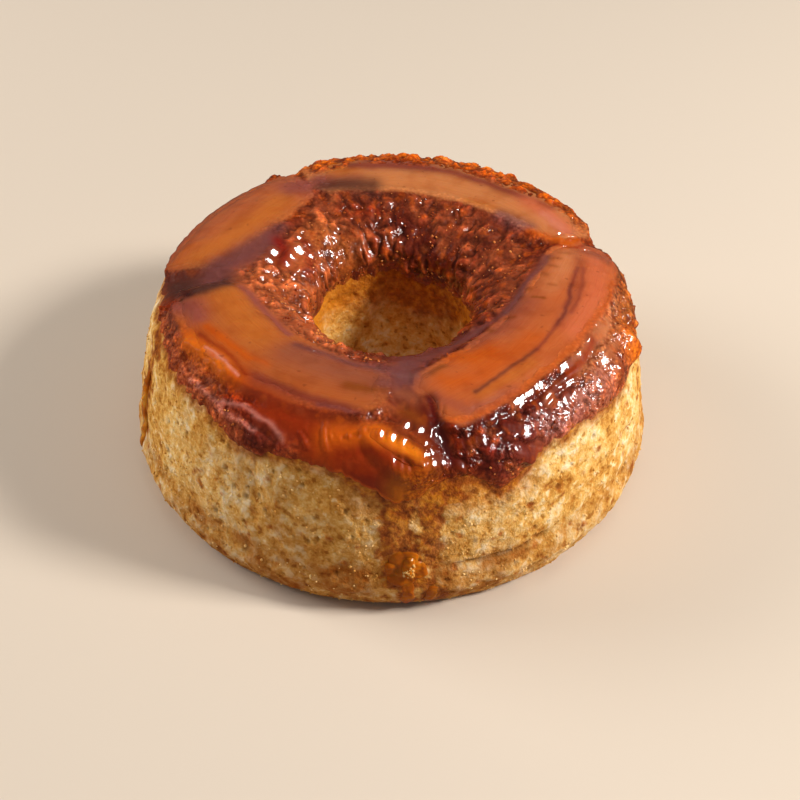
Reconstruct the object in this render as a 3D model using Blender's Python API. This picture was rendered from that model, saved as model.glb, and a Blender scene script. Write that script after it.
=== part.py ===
"""Caramelized banana cake: a ring cake turned out upside down, with banana slices on top.

The crumb is one ring. A sheet of set caramel lies over its top, hangs over the rim as a
ragged skirt and runs down into the hole. Four long banana slices and one small piece sit
in pockets in that sheet, on the crumb.

Units are metres, +Z is up and the origin is the centre of the flat base. Angles are in
degrees from +X, counter-clockwise from above, so the front is at -90.
"""
import math

import bmesh
import bpy
import numpy as np
from mathutils import Vector, noise

# Driving dimensions of the crumb
FOOT_RADIUS = 0.0892
BELLY_RADIUS = 0.0950
BELLY_HEIGHT = 0.0120
LIP_RADIUS = 0.0926
LIP_HEIGHT = 0.0200
WALL_TOP_RADIUS = 0.0860
WALL_TOP_HEIGHT = 0.0540
WALL_BULGE = 0.0012
CREST_RADIUS = 0.0600
CREST_RISE = 0.0130
HOLE_FOOT_RADIUS = 0.0280
HOLE_TOP_RADIUS = 0.0310
CRUMB_RELIEF = 0.0006
CRUMB_LUMP_SIZE = 0.009
LIP_RELIEF = 0.0008
LIP_LUMP_SIZE = 0.014
RELIEF_FADE = 0.004
RELIEF_CLEARANCE = 0.0015

# Slow rises and falls of the top: angle, half width in degrees, lift. They fade out
# down the sides between these two heights.
LIFTS = [(95, 45, 0.0012), (21, 12, -0.0024)]
LIFT_NONE_HEIGHT = 0.045
LIFT_FULL_HEIGHT = 0.060

# Driving dimensions of the caramel
GAP = 0.0004
CARAMEL_TOP = 0.0034
CARAMEL_EDGE = 0.0009
SKIRT_REACH = 0.009
HOLE_REACH = 0.006
CRAG_RELIEF = 0.0013
CRAG_SIZE = 0.0080
SKIRT_HEIGHT = 0.05675
SKIRT_TILT = 0.00325
SKIRT_RAGGED = 0.0012
HOLE_EDGE_HEIGHT = 0.042
HOLE_EDGE_RELIEF = 0.004
EDGE_STEP = 0.0004

# Lobes of the skirt: angle, half width in degrees, how far each hangs down
SKIRT_LOBES = [(-124, 7, 0.0030), (-84, 10, 0.0080), (-62, 8, 0.0075), (-24, 6, 0.0035)]

# Dents and blobs in the caramel: angle, radius from the axis, own radius, rise
CARAMEL_SPOTS = [
    (117, 0.0780, 0.0065, -0.0022),
    (25, 0.0780, 0.0060, -0.0022),
    (-77, 0.0790, 0.0050, -0.0018),
    (183, 0.0640, 0.0110, -0.0012),
    (24, 0.0690, 0.0040, 0.0010),
]
BLOB_ANGLE = -15
BLOB_HEIGHT = 0.0560
BLOB_RADIUS = 0.0045
BLOB_RISE = 0.0032

# Drips on the crumb: angle, half width in degrees, top, foot, ridge height
DRIPS = [
    (-86.5, 2.0, 0.0460, 0.0085, 0.0014),
    (-80.2, 1.5, 0.0460, 0.0085, 0.0010),
    (-165.0, 2.2, 0.0520, 0.0240, 0.0014),
    (60.0, 2.2, 0.0500, 0.0300, 0.0014),
    (118.0, 2.0, 0.0520, 0.0380, 0.0012),
]

# Banana slices: centre and radius of the bent centreline, its first and last angle
# (clockwise), half width, thickness, and how much each end narrows
SLICES = {
    "banana_slice_back": ((-0.0052, -0.0218), 0.0865, 108.5, 35.0, 0.0125, 0.0046, 0.10, 0.25),
    "banana_slice_right": ((-0.0469, 0.0373), 0.1166, -8.0, -60.5, 0.0140, 0.0043, 0.30, 0.15),
    "banana_slice_front": ((0.0109, 0.0193), 0.0796, -98.5, -161.0, 0.0140, 0.0038, 0.40, 0.25),
    "banana_slice_left": ((0.0273, -0.0200), 0.1005, 162.0, 128.0, 0.0135, 0.0036, 0.20, 0.25),
    "banana_piece_front": ((0.0040, -0.0008), 0.0775, -79.0, -101.0, 0.0037, 0.0046, 0.80, 0.50),
}
SLICE_CUTS_LONG = 12
SLICE_CUTS_WIDE = 4
SLICE_ROUNDING = 5.0
CUTTER_DEPTH = 0.003
CUTTER_HEIGHT = 0.006
WELD_DISTANCE = 0.0001

# Points of the crumb's profile: along the side wall, over the dome and down the hole
SIDE_POINTS = 5
WALL_STEPS = (0.15, 0.33, 0.50, 0.64, 0.76, 0.88, 1.0)
DOME_DEGREES = (16, 35, 55, 77, 99, 121, 142, 161, 180)
HOLE_HEIGHTS = (0.047, 0.041, 0.034, 0.023, 0.011, 0.0)
WALL_TOP_ROW = SIDE_POINTS + len(WALL_STEPS) - 1
HOLE_TOP_ROW = WALL_TOP_ROW + len(DOME_DEGREES)
FIRST_CARAMEL_ROW = WALL_TOP_ROW - 2
LAST_CARAMEL_ROW = HOLE_TOP_ROW + 2

# Sections round the ring: how many, and where they stand closer
COLUMNS = 74
CROWDED = [(-83.5, 8, 2.2), (-165, 4, 1.2), (BLOB_ANGLE, 5, 1.2), (60, 4, 1.0), (118, 4, 1.0)]


def smooth(x):
    """Ease from 0 to 1 while x goes from 0 to 1."""
    x = min(1.0, max(0.0, x))
    return x * x * (3.0 - 2.0 * x)


def turn(angle):
    """The same angle between -180 and 180 degrees."""
    return (angle + 180.0) % 360.0 - 180.0


def bell(distance, width):
    return math.exp(-((distance / width) ** 2))


def wander(angle, size, seed):
    """Smooth random value in -1 to 1 that repeats after a full turn."""
    a = math.radians(angle)
    return noise.noise(Vector((size * math.cos(a), size * math.sin(a), seed)))


def crumb_profile():
    """The crumb's profile (radius, height) from the foot over the top to the hole's foot."""
    side = [
        (FOOT_RADIUS, 0.0),
        (FOOT_RADIUS + 0.0026, 0.003),
        (BELLY_RADIUS - 0.0012, 0.007),
        (BELLY_RADIUS, BELLY_HEIGHT),
        (LIP_RADIUS, LIP_HEIGHT),
    ]
    wall = []
    for x in WALL_STEPS:
        radius = LIP_RADIUS + (WALL_TOP_RADIUS - LIP_RADIUS) * x
        radius += WALL_BULGE * math.sin(math.pi * x)
        wall.append((radius, LIP_HEIGHT + (WALL_TOP_HEIGHT - LIP_HEIGHT) * x))
    dome = []
    for degrees in DOME_DEGREES:
        a = math.radians(degrees)
        foot = WALL_TOP_RADIUS if degrees < 90 else HOLE_TOP_RADIUS
        half = abs(foot - CREST_RADIUS)
        dome.append((CREST_RADIUS + half * math.cos(a), WALL_TOP_HEIGHT + CREST_RISE * math.sin(a)))
    hole = []
    for height in HOLE_HEIGHTS:
        x = height / WALL_TOP_HEIGHT
        hole.append((HOLE_FOOT_RADIUS + (HOLE_TOP_RADIUS - HOLE_FOOT_RADIUS) * x, height))
    return np.array(side + wall + dome + hole)


PROFILE = crumb_profile()
STEPS = np.hypot(*np.diff(PROFILE, axis=0).T)
LENGTHS = np.concatenate([[0.0], np.cumsum(STEPS)])
CREST_ROW = int(np.argmax(PROFILE[:, 1]))
CREST_LENGTH = float(LENGTHS[CREST_ROW])


def profile_normals():
    """Outward unit normals (radius, height) at the profile's points."""
    edges = np.diff(PROFILE, axis=0)
    edges /= np.hypot(edges[:, 0], edges[:, 1])[:, None]
    tangents = np.vstack([edges[:1], edges[:-1] + edges[1:], edges[-1:]])
    tangents /= np.hypot(tangents[:, 0], tangents[:, 1])[:, None]
    return np.column_stack([tangents[:, 1], -tangents[:, 0]])


NORMALS = profile_normals()


def on_crumb(length, offset, angle):
    """Point at a length along the profile, lifted off the crumb by offset, at an angle."""
    radius = np.interp(length, LENGTHS, PROFILE[:, 0])
    height = np.interp(length, LENGTHS, PROFILE[:, 1])
    radius += np.interp(length, LENGTHS, NORMALS[:, 0]) * offset
    lift = sum(rise * bell(turn(angle - centre), width) for centre, width, rise in LIFTS)
    height += lift * smooth((height - LIFT_NONE_HEIGHT) / (LIFT_FULL_HEIGHT - LIFT_NONE_HEIGHT))
    height += np.interp(length, LENGTHS, NORMALS[:, 1]) * offset
    a = math.radians(angle)
    return Vector((radius * math.cos(a), radius * math.sin(a), height))


def side_length(height):
    """Length along the profile where the outer side reaches a height."""
    rows = slice(0, CREST_ROW + 1)
    return float(np.interp(height, PROFILE[rows, 1], LENGTHS[rows]))


def hole_length(height):
    """Length along the profile where the hole's wall reaches a height."""
    rows = slice(CREST_ROW, None)
    return float(np.interp(-height, -PROFILE[rows, 1], LENGTHS[rows]))


def dome_length(radius):
    """Length along the profile where the top has a radius from the axis."""
    rows = slice(WALL_TOP_ROW, HOLE_TOP_ROW + 1)
    return float(np.interp(-radius, -PROFILE[rows, 0], LENGTHS[rows]))


def skirt_height(angle):
    """Height of the caramel's outer edge."""
    height = SKIRT_HEIGHT - SKIRT_TILT * math.cos(math.radians(angle))
    for centre, width, drop in SKIRT_LOBES:
        height -= drop * bell(turn(angle - centre), width)
    return height + SKIRT_RAGGED * wander(angle, 6.0, 1.5)


def hole_edge_height(angle):
    """Height of the caramel's lower edge in the hole."""
    return HOLE_EDGE_HEIGHT + HOLE_EDGE_RELIEF * wander(angle, 2.5, 4.5)


def column_angles():
    """Angles of the sections, closer together round the drips and the blob."""
    angles = np.linspace(0.0, 360.0, 1441)
    weights = np.ones_like(angles)
    for centre, width, extra in CROWDED:
        weights += extra * np.exp(-((((angles - centre + 180) % 360) - 180) / width) ** 2)
    totals = np.concatenate([[0.0], np.cumsum((weights[1:] + weights[:-1]) / 2)])
    return np.interp(np.arange(COLUMNS) / COLUMNS, totals / totals[-1], angles)


def drip_ridge(angle, height):
    """How far the drips stand out of the crumb's side."""
    ridge = 0.0
    for centre, width, top, foot, rise in DRIPS:
        sway = 0.6 * wander(height * 1500.0, 1.0, centre)
        across = bell(turn(angle - centre - sway), width)
        along = smooth((top - height) / 0.004) * smooth((height - foot + 0.003) / 0.006)
        bead = 1.0 + 0.5 * bell(height - foot - 0.006, 0.006)
        ridge = max(ridge, rise * across * along * bead)
    return ridge


def crumb_relief(length, angle):
    """How far the uneven crumb stands off its smooth profile. It is flat under the caramel."""
    edge = side_length(skirt_height(angle)) - RELIEF_CLEARANCE
    hole_edge = hole_length(hole_edge_height(angle)) + RELIEF_CLEARANCE
    skirt = smooth((edge - length) / RELIEF_FADE)
    hole = smooth((length - hole_edge) / RELIEF_FADE)
    if skirt + hole == 0.0:
        return 0.0
    point = on_crumb(length, 0.0, angle)
    ground = smooth(point.z / 0.006)
    lumps = noise.fractal(point / CRUMB_LUMP_SIZE, 1.0, 2.0, 2)
    lip = bell(point.z - LIP_HEIGHT, 0.006) * noise.noise(point / LIP_LUMP_SIZE)
    relief = CRUMB_RELIEF * lumps + LIP_RELIEF * lip * skirt
    return (relief + drip_ridge(angle, point.z) * skirt) * (skirt + hole) * ground


def caramel_thickness(length, angle, edge, hole_edge):
    """Thickness of the caramel between its outer edge and its edge in the hole."""
    if length < CREST_LENGTH:
        depth = (length - edge) / SKIRT_REACH
    else:
        depth = (hole_edge - length) / HOLE_REACH
    thick = CARAMEL_EDGE + (CARAMEL_TOP - CARAMEL_EDGE) * (1.0 - math.exp(-max(0.0, depth)))
    point = on_crumb(length, 0.0, angle)
    thick += CRAG_RELIEF * noise.fractal(point / CRAG_SIZE, 0.9, 2.0, 2) * smooth(depth)
    flat = Vector((point.x, point.y))
    for centre, radius, size, rise in CARAMEL_SPOTS:
        a = math.radians(centre)
        spot = Vector((radius * math.cos(a), radius * math.sin(a)))
        thick += rise * bell((flat - spot).length, size)
    if length < CREST_LENGTH:
        blob = on_crumb(side_length(BLOB_HEIGHT), 0.0, BLOB_ANGLE)
        thick += BLOB_RISE * bell((point - blob).length, BLOB_RADIUS)
    return max(0.0006, thick)


def new_torus(name, rows, collection):
    """A torus primitive whose vertices are numbered section by section, from its outer side up."""
    bpy.ops.mesh.primitive_torus_add(
        major_radius=1.0, minor_radius=0.3, major_segments=COLUMNS, minor_segments=rows
    )
    ring = bpy.context.object
    ring.name = name
    ring.data.name = name
    move_to(ring, collection)
    return ring


def move_to(item, collection):
    for old in item.users_collection:
        old.objects.unlink(item)
    collection.objects.link(item)


def shape_torus(ring, rows, place):
    """Move each vertex of a torus to place(column, row)."""
    for vertex in ring.data.vertices:
        column, row = divmod(vertex.index, rows)
        vertex.co = place(column, row)
    ring.data.update()


def make_cake_ring(collection):
    """The crumb: the profile turned round, closed by the flat base, with its relief."""
    angles = column_angles()
    last = len(PROFILE) - 1
    base_radius = (FOOT_RADIUS + HOLE_FOOT_RADIUS) / 2

    def place(column, row):
        angle = float(angles[column])
        if row > last:
            a = math.radians(angle)
            return Vector((base_radius * math.cos(a), base_radius * math.sin(a), 0.0))
        length = float(LENGTHS[row])
        return on_crumb(length, crumb_relief(length, angle), angle)

    rows = len(PROFILE) + 1
    ring = new_torus("cake_ring", rows, collection)
    shape_torus(ring, rows, place)
    return ring


def make_caramel_crust(collection):
    """The caramel sheet: outer face over the top, then back along the crumb."""
    angles = column_angles()
    shared = LENGTHS[FIRST_CARAMEL_ROW : LAST_CARAMEL_ROW + 1]
    count = len(shared)

    def place(column, row):
        angle = float(angles[column])
        edge = side_length(skirt_height(angle))
        hole_edge = hole_length(hole_edge_height(angle))
        under = row > count
        if row == count:
            lip = caramel_thickness(hole_edge, angle, edge, hole_edge)
            return on_crumb(hole_edge + lip / 2, GAP + lip / 2, angle)
        if row == 2 * count + 1:
            lip = caramel_thickness(edge, angle, edge, hole_edge)
            return on_crumb(edge - lip / 2, GAP + lip / 2, angle)
        step = 2 * count - row if under else row
        length = max(float(shared[step]), edge + step * EDGE_STEP)
        length = min(length, hole_edge - (count - 1 - step) * EDGE_STEP)
        offset = GAP
        if not under:
            offset += caramel_thickness(length, angle, edge, hole_edge)
        return on_crumb(length, offset, angle)

    rows = 2 * count + 2
    crust = new_torus("caramel_crust", rows, collection)
    shape_torus(crust, rows, place)
    return crust


def end_factor(u, first_narrow, last_narrow):
    """Width along a slice: full in the middle, narrower and rounded at both ends."""
    narrow = first_narrow if u < 0 else last_narrow
    taper = 1.0 - narrow * abs(u) ** 3
    return taper * (1.0 - 0.35 * smooth((abs(u) - 0.86) / 0.14) ** 2)


def slice_point(shape, u, v, offset, grow):
    """Point of a slice at u along and v across, lifted off the crumb by offset."""
    (centre_x, centre_y), bend, first, last, half_width, _, narrow_a, narrow_b = shape
    spread = math.degrees(grow / bend)
    first, last = first + spread, last - spread
    a = math.radians(first + (last - first) * (u + 1.0) / 2.0)
    across = v * (half_width * end_factor(u, narrow_a, narrow_b) + grow)
    x = centre_x + (bend + across) * math.cos(a)
    y = centre_y + (bend + across) * math.sin(a)
    radius = math.hypot(x, y)
    angle = math.degrees(math.atan2(y, x))
    return on_crumb(dome_length(radius), offset, angle)


def cut_cube(cuts_long, cuts_wide, cuts_thick):
    """A cube from -1 to 1, cut into a grid on every side."""
    bm = bmesh.new()
    bmesh.ops.create_cube(bm, size=2.0)
    for axis, cuts in enumerate((cuts_long, cuts_wide, cuts_thick)):
        normal = Vector((0.0, 0.0, 0.0))
        normal[axis] = 1.0
        for i in range(1, cuts + 1):
            spot = normal * (-1.0 + 2.0 * i / (cuts + 1))
            everything = bm.verts[:] + bm.edges[:] + bm.faces[:]
            bmesh.ops.bisect_plane(bm, geom=everything, plane_co=spot, plane_no=normal, dist=1e-6)
    return bm


def finish_mesh(bm, name, collection):
    mesh = bpy.data.meshes.new(name)
    bm.to_mesh(mesh)
    bm.free()
    item = bpy.data.objects.new(name, mesh)
    collection.objects.link(item)
    return item


def make_slice(name, shape, collection):
    """A bent slice with rounded edges that drapes over the crumb."""
    thickness = shape[5]
    bm = cut_cube(SLICE_CUTS_LONG, SLICE_CUTS_WIDE, 1)
    for vertex in bm.verts:
        u, v, w = vertex.co
        reach = max(abs(v), abs(w))
        power = abs(v) ** SLICE_ROUNDING + abs(w) ** SLICE_ROUNDING
        pull = reach * power ** (-1.0 / SLICE_ROUNDING) if reach > 0.0 else 1.0
        thin = 1.0 - 0.35 * smooth((abs(u) - 0.8) / 0.2)
        offset = GAP + thickness * (0.5 + 0.5 * w * pull * thin)
        vertex.co = slice_point(shape, u, v * pull, offset, 0.0)
    return finish_mesh(bm, name, collection)


def make_pocket_cutter(name, shape, collection):
    """The slice's outline grown by the gap, deep enough to cut right through the caramel."""
    bm = cut_cube(SLICE_CUTS_LONG, SLICE_CUTS_WIDE, 0)
    for vertex in bm.verts:
        u, v, w = vertex.co
        offset = CUTTER_HEIGHT if w > 0 else -CUTTER_DEPTH
        vertex.co = slice_point(shape, u, v, offset, GAP)
    bmesh.ops.triangulate(bm, faces=bm.faces[:])
    cutter = finish_mesh(bm, name + "_pocket", collection)
    cutter.hide_render = True
    cutter.display_type = "WIRE"
    return cutter


def cut_pockets(crust, cutters):
    crust.modifiers.new("flat_faces", "TRIANGULATE")
    for cutter in cutters:
        pocket = crust.modifiers.new(cutter.name, "BOOLEAN")
        pocket.operation = "DIFFERENCE"
        pocket.object = cutter
    weld = crust.modifiers.new("weld_slivers", "WELD")
    weld.merge_threshold = WELD_DISTANCE


def make_material(name, color, roughness, subsurface=0.0):
    material = bpy.data.materials.new(name)
    material.use_nodes = True
    shader = material.node_tree.nodes["Principled BSDF"]
    shader.inputs["Base Color"].default_value = (*color, 1.0)
    shader.inputs["Roughness"].default_value = roughness
    shader.inputs["Metallic"].default_value = 0.0
    shader.inputs["Subsurface Weight"].default_value = subsurface
    material.diffuse_color = (*color, 1.0)
    return material


def finish_piece(item, material):
    item.data.materials.clear()
    item.data.materials.append(material)
    item.data.shade_smooth()
    item.data.set_sharp_from_angle(angle=math.radians(50))


def build():
    for old in list(bpy.data.objects):
        bpy.data.objects.remove(old, do_unlink=True)
    cake = bpy.data.collections.new("caramelized_banana_cake")
    cutters = bpy.data.collections.new("cutters")
    bpy.context.scene.collection.children.link(cake)
    bpy.context.scene.collection.children.link(cutters)

    crumb = make_material("crumb", (0.55, 0.32, 0.12), 0.85, 0.1)
    caramel = make_material("caramel", (0.28, 0.06, 0.02), 0.25)
    banana = make_material("glazed_banana", (0.46, 0.14, 0.04), 0.2, 0.2)

    finish_piece(make_cake_ring(cake), crumb)
    crust = make_caramel_crust(cake)
    pockets = []
    for name, shape in SLICES.items():
        finish_piece(make_slice(name, shape, cake), banana)
        pockets.append(make_pocket_cutter(name, shape, cutters))
    finish_piece(crust, caramel)
    cut_pockets(crust, pockets)


build()
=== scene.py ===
# %% [markdown]
# # A caramelized banana cake
#
# This notebook dresses a ring cake that was turned out of its tin upside down. The solids
# are already made and packed, so each step here only makes the fine surface that a baker
# would recognise: open crumb, craggy set caramel and glassy slices of banana.

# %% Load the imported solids
import json
import math

import bmesh
import bpy
import numpy as np
from mathutils import Matrix, Vector, noise


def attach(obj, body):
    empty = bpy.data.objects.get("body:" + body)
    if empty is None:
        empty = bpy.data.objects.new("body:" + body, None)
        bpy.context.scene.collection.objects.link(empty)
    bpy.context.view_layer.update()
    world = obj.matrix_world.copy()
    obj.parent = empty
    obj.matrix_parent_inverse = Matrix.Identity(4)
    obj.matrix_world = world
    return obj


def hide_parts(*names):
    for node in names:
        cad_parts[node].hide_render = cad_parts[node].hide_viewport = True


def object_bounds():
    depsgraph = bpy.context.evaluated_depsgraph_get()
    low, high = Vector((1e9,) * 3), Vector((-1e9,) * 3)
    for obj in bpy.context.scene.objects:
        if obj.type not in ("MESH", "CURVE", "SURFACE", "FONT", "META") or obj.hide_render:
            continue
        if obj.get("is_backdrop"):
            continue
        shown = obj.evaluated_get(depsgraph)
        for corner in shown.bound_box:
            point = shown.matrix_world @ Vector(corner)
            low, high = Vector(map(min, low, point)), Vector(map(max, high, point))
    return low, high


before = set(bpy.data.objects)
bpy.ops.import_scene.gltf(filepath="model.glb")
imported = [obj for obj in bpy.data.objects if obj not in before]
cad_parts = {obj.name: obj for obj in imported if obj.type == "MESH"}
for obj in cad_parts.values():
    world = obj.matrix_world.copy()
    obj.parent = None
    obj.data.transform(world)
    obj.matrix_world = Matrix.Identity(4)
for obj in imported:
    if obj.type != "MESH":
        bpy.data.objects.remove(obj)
cad_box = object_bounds()
MM = 0.001
print("nodes:", sorted(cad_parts))

# %% [markdown]
# The camera comes first, because it decides how large a detail has to be before it shows.
# A lens of 30 degrees, held 0.58 m away and looking down at 42.5 degrees, gives the same
# ellipse for the cake's foot and the same height as the photograph. One pixel is then
# 0.4 mm on the cake, so grains and pores down to about half a millimetre are worth making,
# and anything finer can be left to the materials.

# %% Camera
FIELD_OF_VIEW = math.radians(30)
CAMERA_PLACE = Vector((0.0026, -0.4170, 0.3928))
CAMERA_TARGET = Vector((0.0026, 0.0089, 0.0021))
CAMERA_ROLL = math.radians(0.31)
PICTURE_WIDTH = 800
SHIFT_PIXELS = (1.1, 3.1)


def in_scene(name, data):
    """A new object of the scene that holds a mesh, a lamp or a camera."""
    made = bpy.data.objects.new(name, data)
    bpy.context.scene.collection.objects.link(made)
    return made


camera = bpy.data.cameras.new("camera")
camera.sensor_width = 36
camera.lens = camera.sensor_width / 2 / math.tan(FIELD_OF_VIEW / 2)
camera.shift_x, camera.shift_y = (shift / PICTURE_WIDTH for shift in SHIFT_PIXELS)
camera.clip_start = 0.01
viewer = in_scene("camera", camera)
aim = (CAMERA_TARGET - CAMERA_PLACE).to_track_quat("-Z", "Y").to_matrix()
roll = Matrix.Rotation(CAMERA_ROLL, 3, "Z")
viewer.matrix_world = Matrix.Translation(CAMERA_PLACE) @ (aim @ roll).to_4x4()
bpy.context.scene.camera = viewer
print("camera distance:", round((CAMERA_TARGET - CAMERA_PLACE).length, 3), "m")

# %% [markdown]
# Everything on this cake follows one profile: up the side of the crumb, over the top and
# down the hole. The solids use a profile with few corners. Here the same corners are joined
# and then rounded by averaging neighbours, the way a baked edge is soft, so that the fine
# pieces lie where the solids lie but show no facets. All of it is in millimetres.

# %% The crumb's profile
SIDE = [(89.2, 0.0), (91.8, 3.0), (93.8, 7.0), (95.0, 12.0), (92.6, 20.0)]
WALL_TOP, WALL_TOP_HEIGHT, WALL_BULGE = 86.0, 54.0, 1.2
CREST_RADIUS, CREST_RISE = 60.0, 13.0
HOLE_FOOT, HOLE_TOP = 28.0, 31.0
SAMPLE = 0.25
ROUNDING = 1.3


def rough_profile():
    """Corners of the profile, from the foot over the top to the hole's foot."""
    points = list(SIDE)
    lip_radius, lip_height = SIDE[-1]
    for x in np.linspace(0.1, 1.0, 10):
        radius = lip_radius + (WALL_TOP - lip_radius) * x + WALL_BULGE * math.sin(math.pi * x)
        points.append((radius, lip_height + (WALL_TOP_HEIGHT - lip_height) * x))
    for degrees in range(10, 181, 10):
        a = math.radians(degrees)
        half = WALL_TOP - CREST_RADIUS if degrees < 90 else CREST_RADIUS - HOLE_TOP
        height = WALL_TOP_HEIGHT + CREST_RISE * math.sin(a)
        points.append((CREST_RADIUS + half * math.cos(a), height))
    points.append((HOLE_FOOT, 0.0))
    return np.array(points)


corners = rough_profile()
loop = np.vstack([corners, corners[:1]])
walked = np.concatenate([[0.0], np.cumsum(np.hypot(*np.diff(loop, axis=0).T))])
HOLE_FOOT_LENGTH = walked[len(corners) - 1]
lengths = np.arange(0.0, walked[-1], SAMPLE)
profile = np.column_stack([np.interp(lengths, walked, loop[:, i]) for i in (0, 1)])
reach = int(4 * ROUNDING / SAMPLE)
weights = np.exp(-((np.arange(-reach, reach + 1) * SAMPLE / ROUNDING) ** 2) / 2)
weights /= weights.sum()
wrapped = np.vstack([profile[-reach:], profile, profile[:reach]])
profile = np.column_stack([np.convolve(wrapped[:, i], weights, "valid") for i in (0, 1)])
tangents = np.roll(profile, -1, axis=0) - np.roll(profile, 1, axis=0)
tangents /= np.hypot(*tangents.T)[:, None]
normals = np.column_stack([tangents[:, 1], -tangents[:, 0]])
crest = int(np.argmax(profile[:, 1]))
CREST_LENGTH = lengths[crest]
print("profile:", len(profile), "samples over", round(walked[-1]), "mm")

# %% [markdown]
# Baked and boiled surfaces are uneven at every size, so most shapes here are moved by noise.
# Calling noise for one point at a time is slow in Python. These helpers work on all points at
# once: the corners of a lattice get random slopes, and each point blends its eight corners.
# The same random numbers scatter round seeds, which become pores, flecks and grains.

# %% Noise for many points at once
def smooth(x):
    x = np.clip(x, 0.0, 1.0)
    return x * x * (3.0 - 2.0 * x)


def bell(distance, width):
    return np.exp(-((distance / width) ** 2))


def scramble(cells, seed):
    """A random whole number of 32 bits for each cell of the lattice."""
    mixed = (cells @ np.array([73856093, 19349663, 83492791]) + seed * 6542989) & 0xFFFFFFFF
    mixed = mixed.astype(np.uint64)
    for shift, factor in ((15, 2246822519), (13, 3266489917)):
        mixed = ((mixed ^ (mixed >> np.uint64(shift))) * np.uint64(factor)) & np.uint64(0xFFFFFFFF)
    return mixed ^ (mixed >> np.uint64(16))


def three_numbers(random):
    """Three numbers from 0 to 1 out of each random whole number."""
    parts = [(random >> np.uint64(shift)) & np.uint64(1023) for shift in (0, 10, 20)]
    return np.stack(parts, axis=-1) / 1023.0


def lumps(points, size, seed=0):
    """Soft noise from about -1 to 1, with lumps of one size."""
    scaled = points / size
    cells = np.floor(scaled).astype(np.int64)
    inside = scaled - cells
    fade = inside**3 * (inside * (inside * 6 - 15) + 10)
    total = np.zeros(len(points))
    for corner in np.ndindex(2, 2, 2):
        slopes = three_numbers(scramble(cells + corner, seed)) * 2 - 1
        weight = np.prod(np.where(corner, fade, 1 - fade), axis=1)
        total += weight * np.sum(slopes * (inside - corner), axis=1)
    return total * 1.6


def rough(points, size, octaves, seed=0):
    """Noise with lumps of a size and ever smaller, weaker ones on them."""
    return sum(lumps(points, size / 2**i, seed + i) / 2**i for i in range(octaves))


def seeds(points, spacing, seed=0):
    """Distance to the nearest scattered seed, and that seed's own number from 0 to 1."""
    scaled = points / spacing
    cells = np.floor(scaled).astype(np.int64)
    nearest = np.full(len(points), 9.0)
    number = np.zeros(len(points))
    for step in np.ndindex(3, 3, 3):
        cell = cells + (np.array(step) - 1)
        random = scramble(cell, seed)
        gap = np.linalg.norm(scaled - cell - three_numbers(random), axis=1)
        closer = gap < nearest
        nearest = np.where(closer, gap, nearest)
        number = np.where(closer, (random & np.uint64(255)) / 255.0, number)
    return nearest * spacing, number


# %% [markdown]
# A few helpers turn the profile into places. on_cake gives points at a length along the
# profile, lifted off the crumb and turned round the ring. The caramel's two edges, the skirt
# outside and the ragged edge in the hole, are functions of the angle, because both the
# crumb and the caramel have to know where the caramel ends.

# %% Places on the cake
LIFTS = [(95, 45, 1.2), (21, 12, -2.4)]
LIFT_NONE, LIFT_FULL = 45.0, 60.0
SKIRT_HEIGHT, SKIRT_TILT = 56.75, 3.25
SKIRT_LOBES = [(-124, 7, 3.0), (-88, 7, 9.5), (-65, 6.5, 8.5), (-24, 6, 3.5)]
HOLE_EDGE_HEIGHT = 45.5
HOLE_LOBES = [(68, 12, 5.0), (160, 25, 3.0), (-60, 30, 3.0)]
RING = np.linspace(-180.0, 180.0, 1441)


def turn(angle):
    return (np.asarray(angle) + 180.0) % 360.0 - 180.0


def arc(angle, centre, half, ease):
    """1 near an angle, easing to 0 at half an arc to either side of it."""
    return smooth((half - abs(turn(angle - centre))) / ease)


def polar(points):
    """Radius in mm and angle in degrees of each point on the plan."""
    x, y = points[:, :2].T
    return np.hypot(x, y), np.degrees(np.arctan2(y, x))


def wander(angle, size, seed):
    """Smooth random value round the ring that meets itself after a full turn."""
    a = np.radians(angle)
    points = np.column_stack([size * np.cos(a), size * np.sin(a), np.full_like(a, seed)])
    return np.array([noise.noise(Vector(p)) for p in points])


def on_cake(length, offset, angle):
    """Points at lengths along the profile, lifted by offsets, at angles in degrees."""
    length, angle = np.broadcast_arrays(length, angle)
    radius, height, out, up = (np.interp(length, lengths, v) for v in (*profile.T, *normals.T))
    lift = sum(rise * bell(turn(angle - centre), width) for centre, width, rise in LIFTS)
    height = height + lift * smooth((height - LIFT_NONE) / (LIFT_FULL - LIFT_NONE))
    radius, height = radius + out * offset, height + up * offset
    a = np.radians(angle)
    return np.column_stack([radius * np.cos(a), radius * np.sin(a), height])


def side_length(height):
    return np.interp(height, profile[: crest + 1, 1], lengths[: crest + 1])


def hole_length(height):
    falling = slice(crest, np.searchsorted(lengths, HOLE_FOOT_LENGTH - 3))
    return np.interp(-np.asarray(height), -profile[falling, 1], lengths[falling])


def top_length(radius):
    first, last = np.searchsorted(lengths, (side_length(54), hole_length(54)))
    return np.interp(-np.asarray(radius), -profile[first:last, 0], lengths[first:last])


skirt_heights = SKIRT_HEIGHT - SKIRT_TILT * np.cos(np.radians(RING))
for centre, width, drop in SKIRT_LOBES:
    skirt_heights -= drop * bell(turn(RING - centre), width)
for size, seed, depth in ((6, 1.5, 1.2), (22, 8.5, 1.2), (60, 3.5, 0.9)):
    skirt_heights += depth * wander(RING, size, seed)
hole_edge_heights = HOLE_EDGE_HEIGHT + 4.0 * wander(RING, 2.5, 4.5) + 2.4 * wander(RING, 9, 7.5)
hole_edge_heights += 0.7 * wander(RING, 30, 2.5)
for centre, width, drop in HOLE_LOBES:
    hole_edge_heights -= drop * bell(turn(RING - centre), width)


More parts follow.
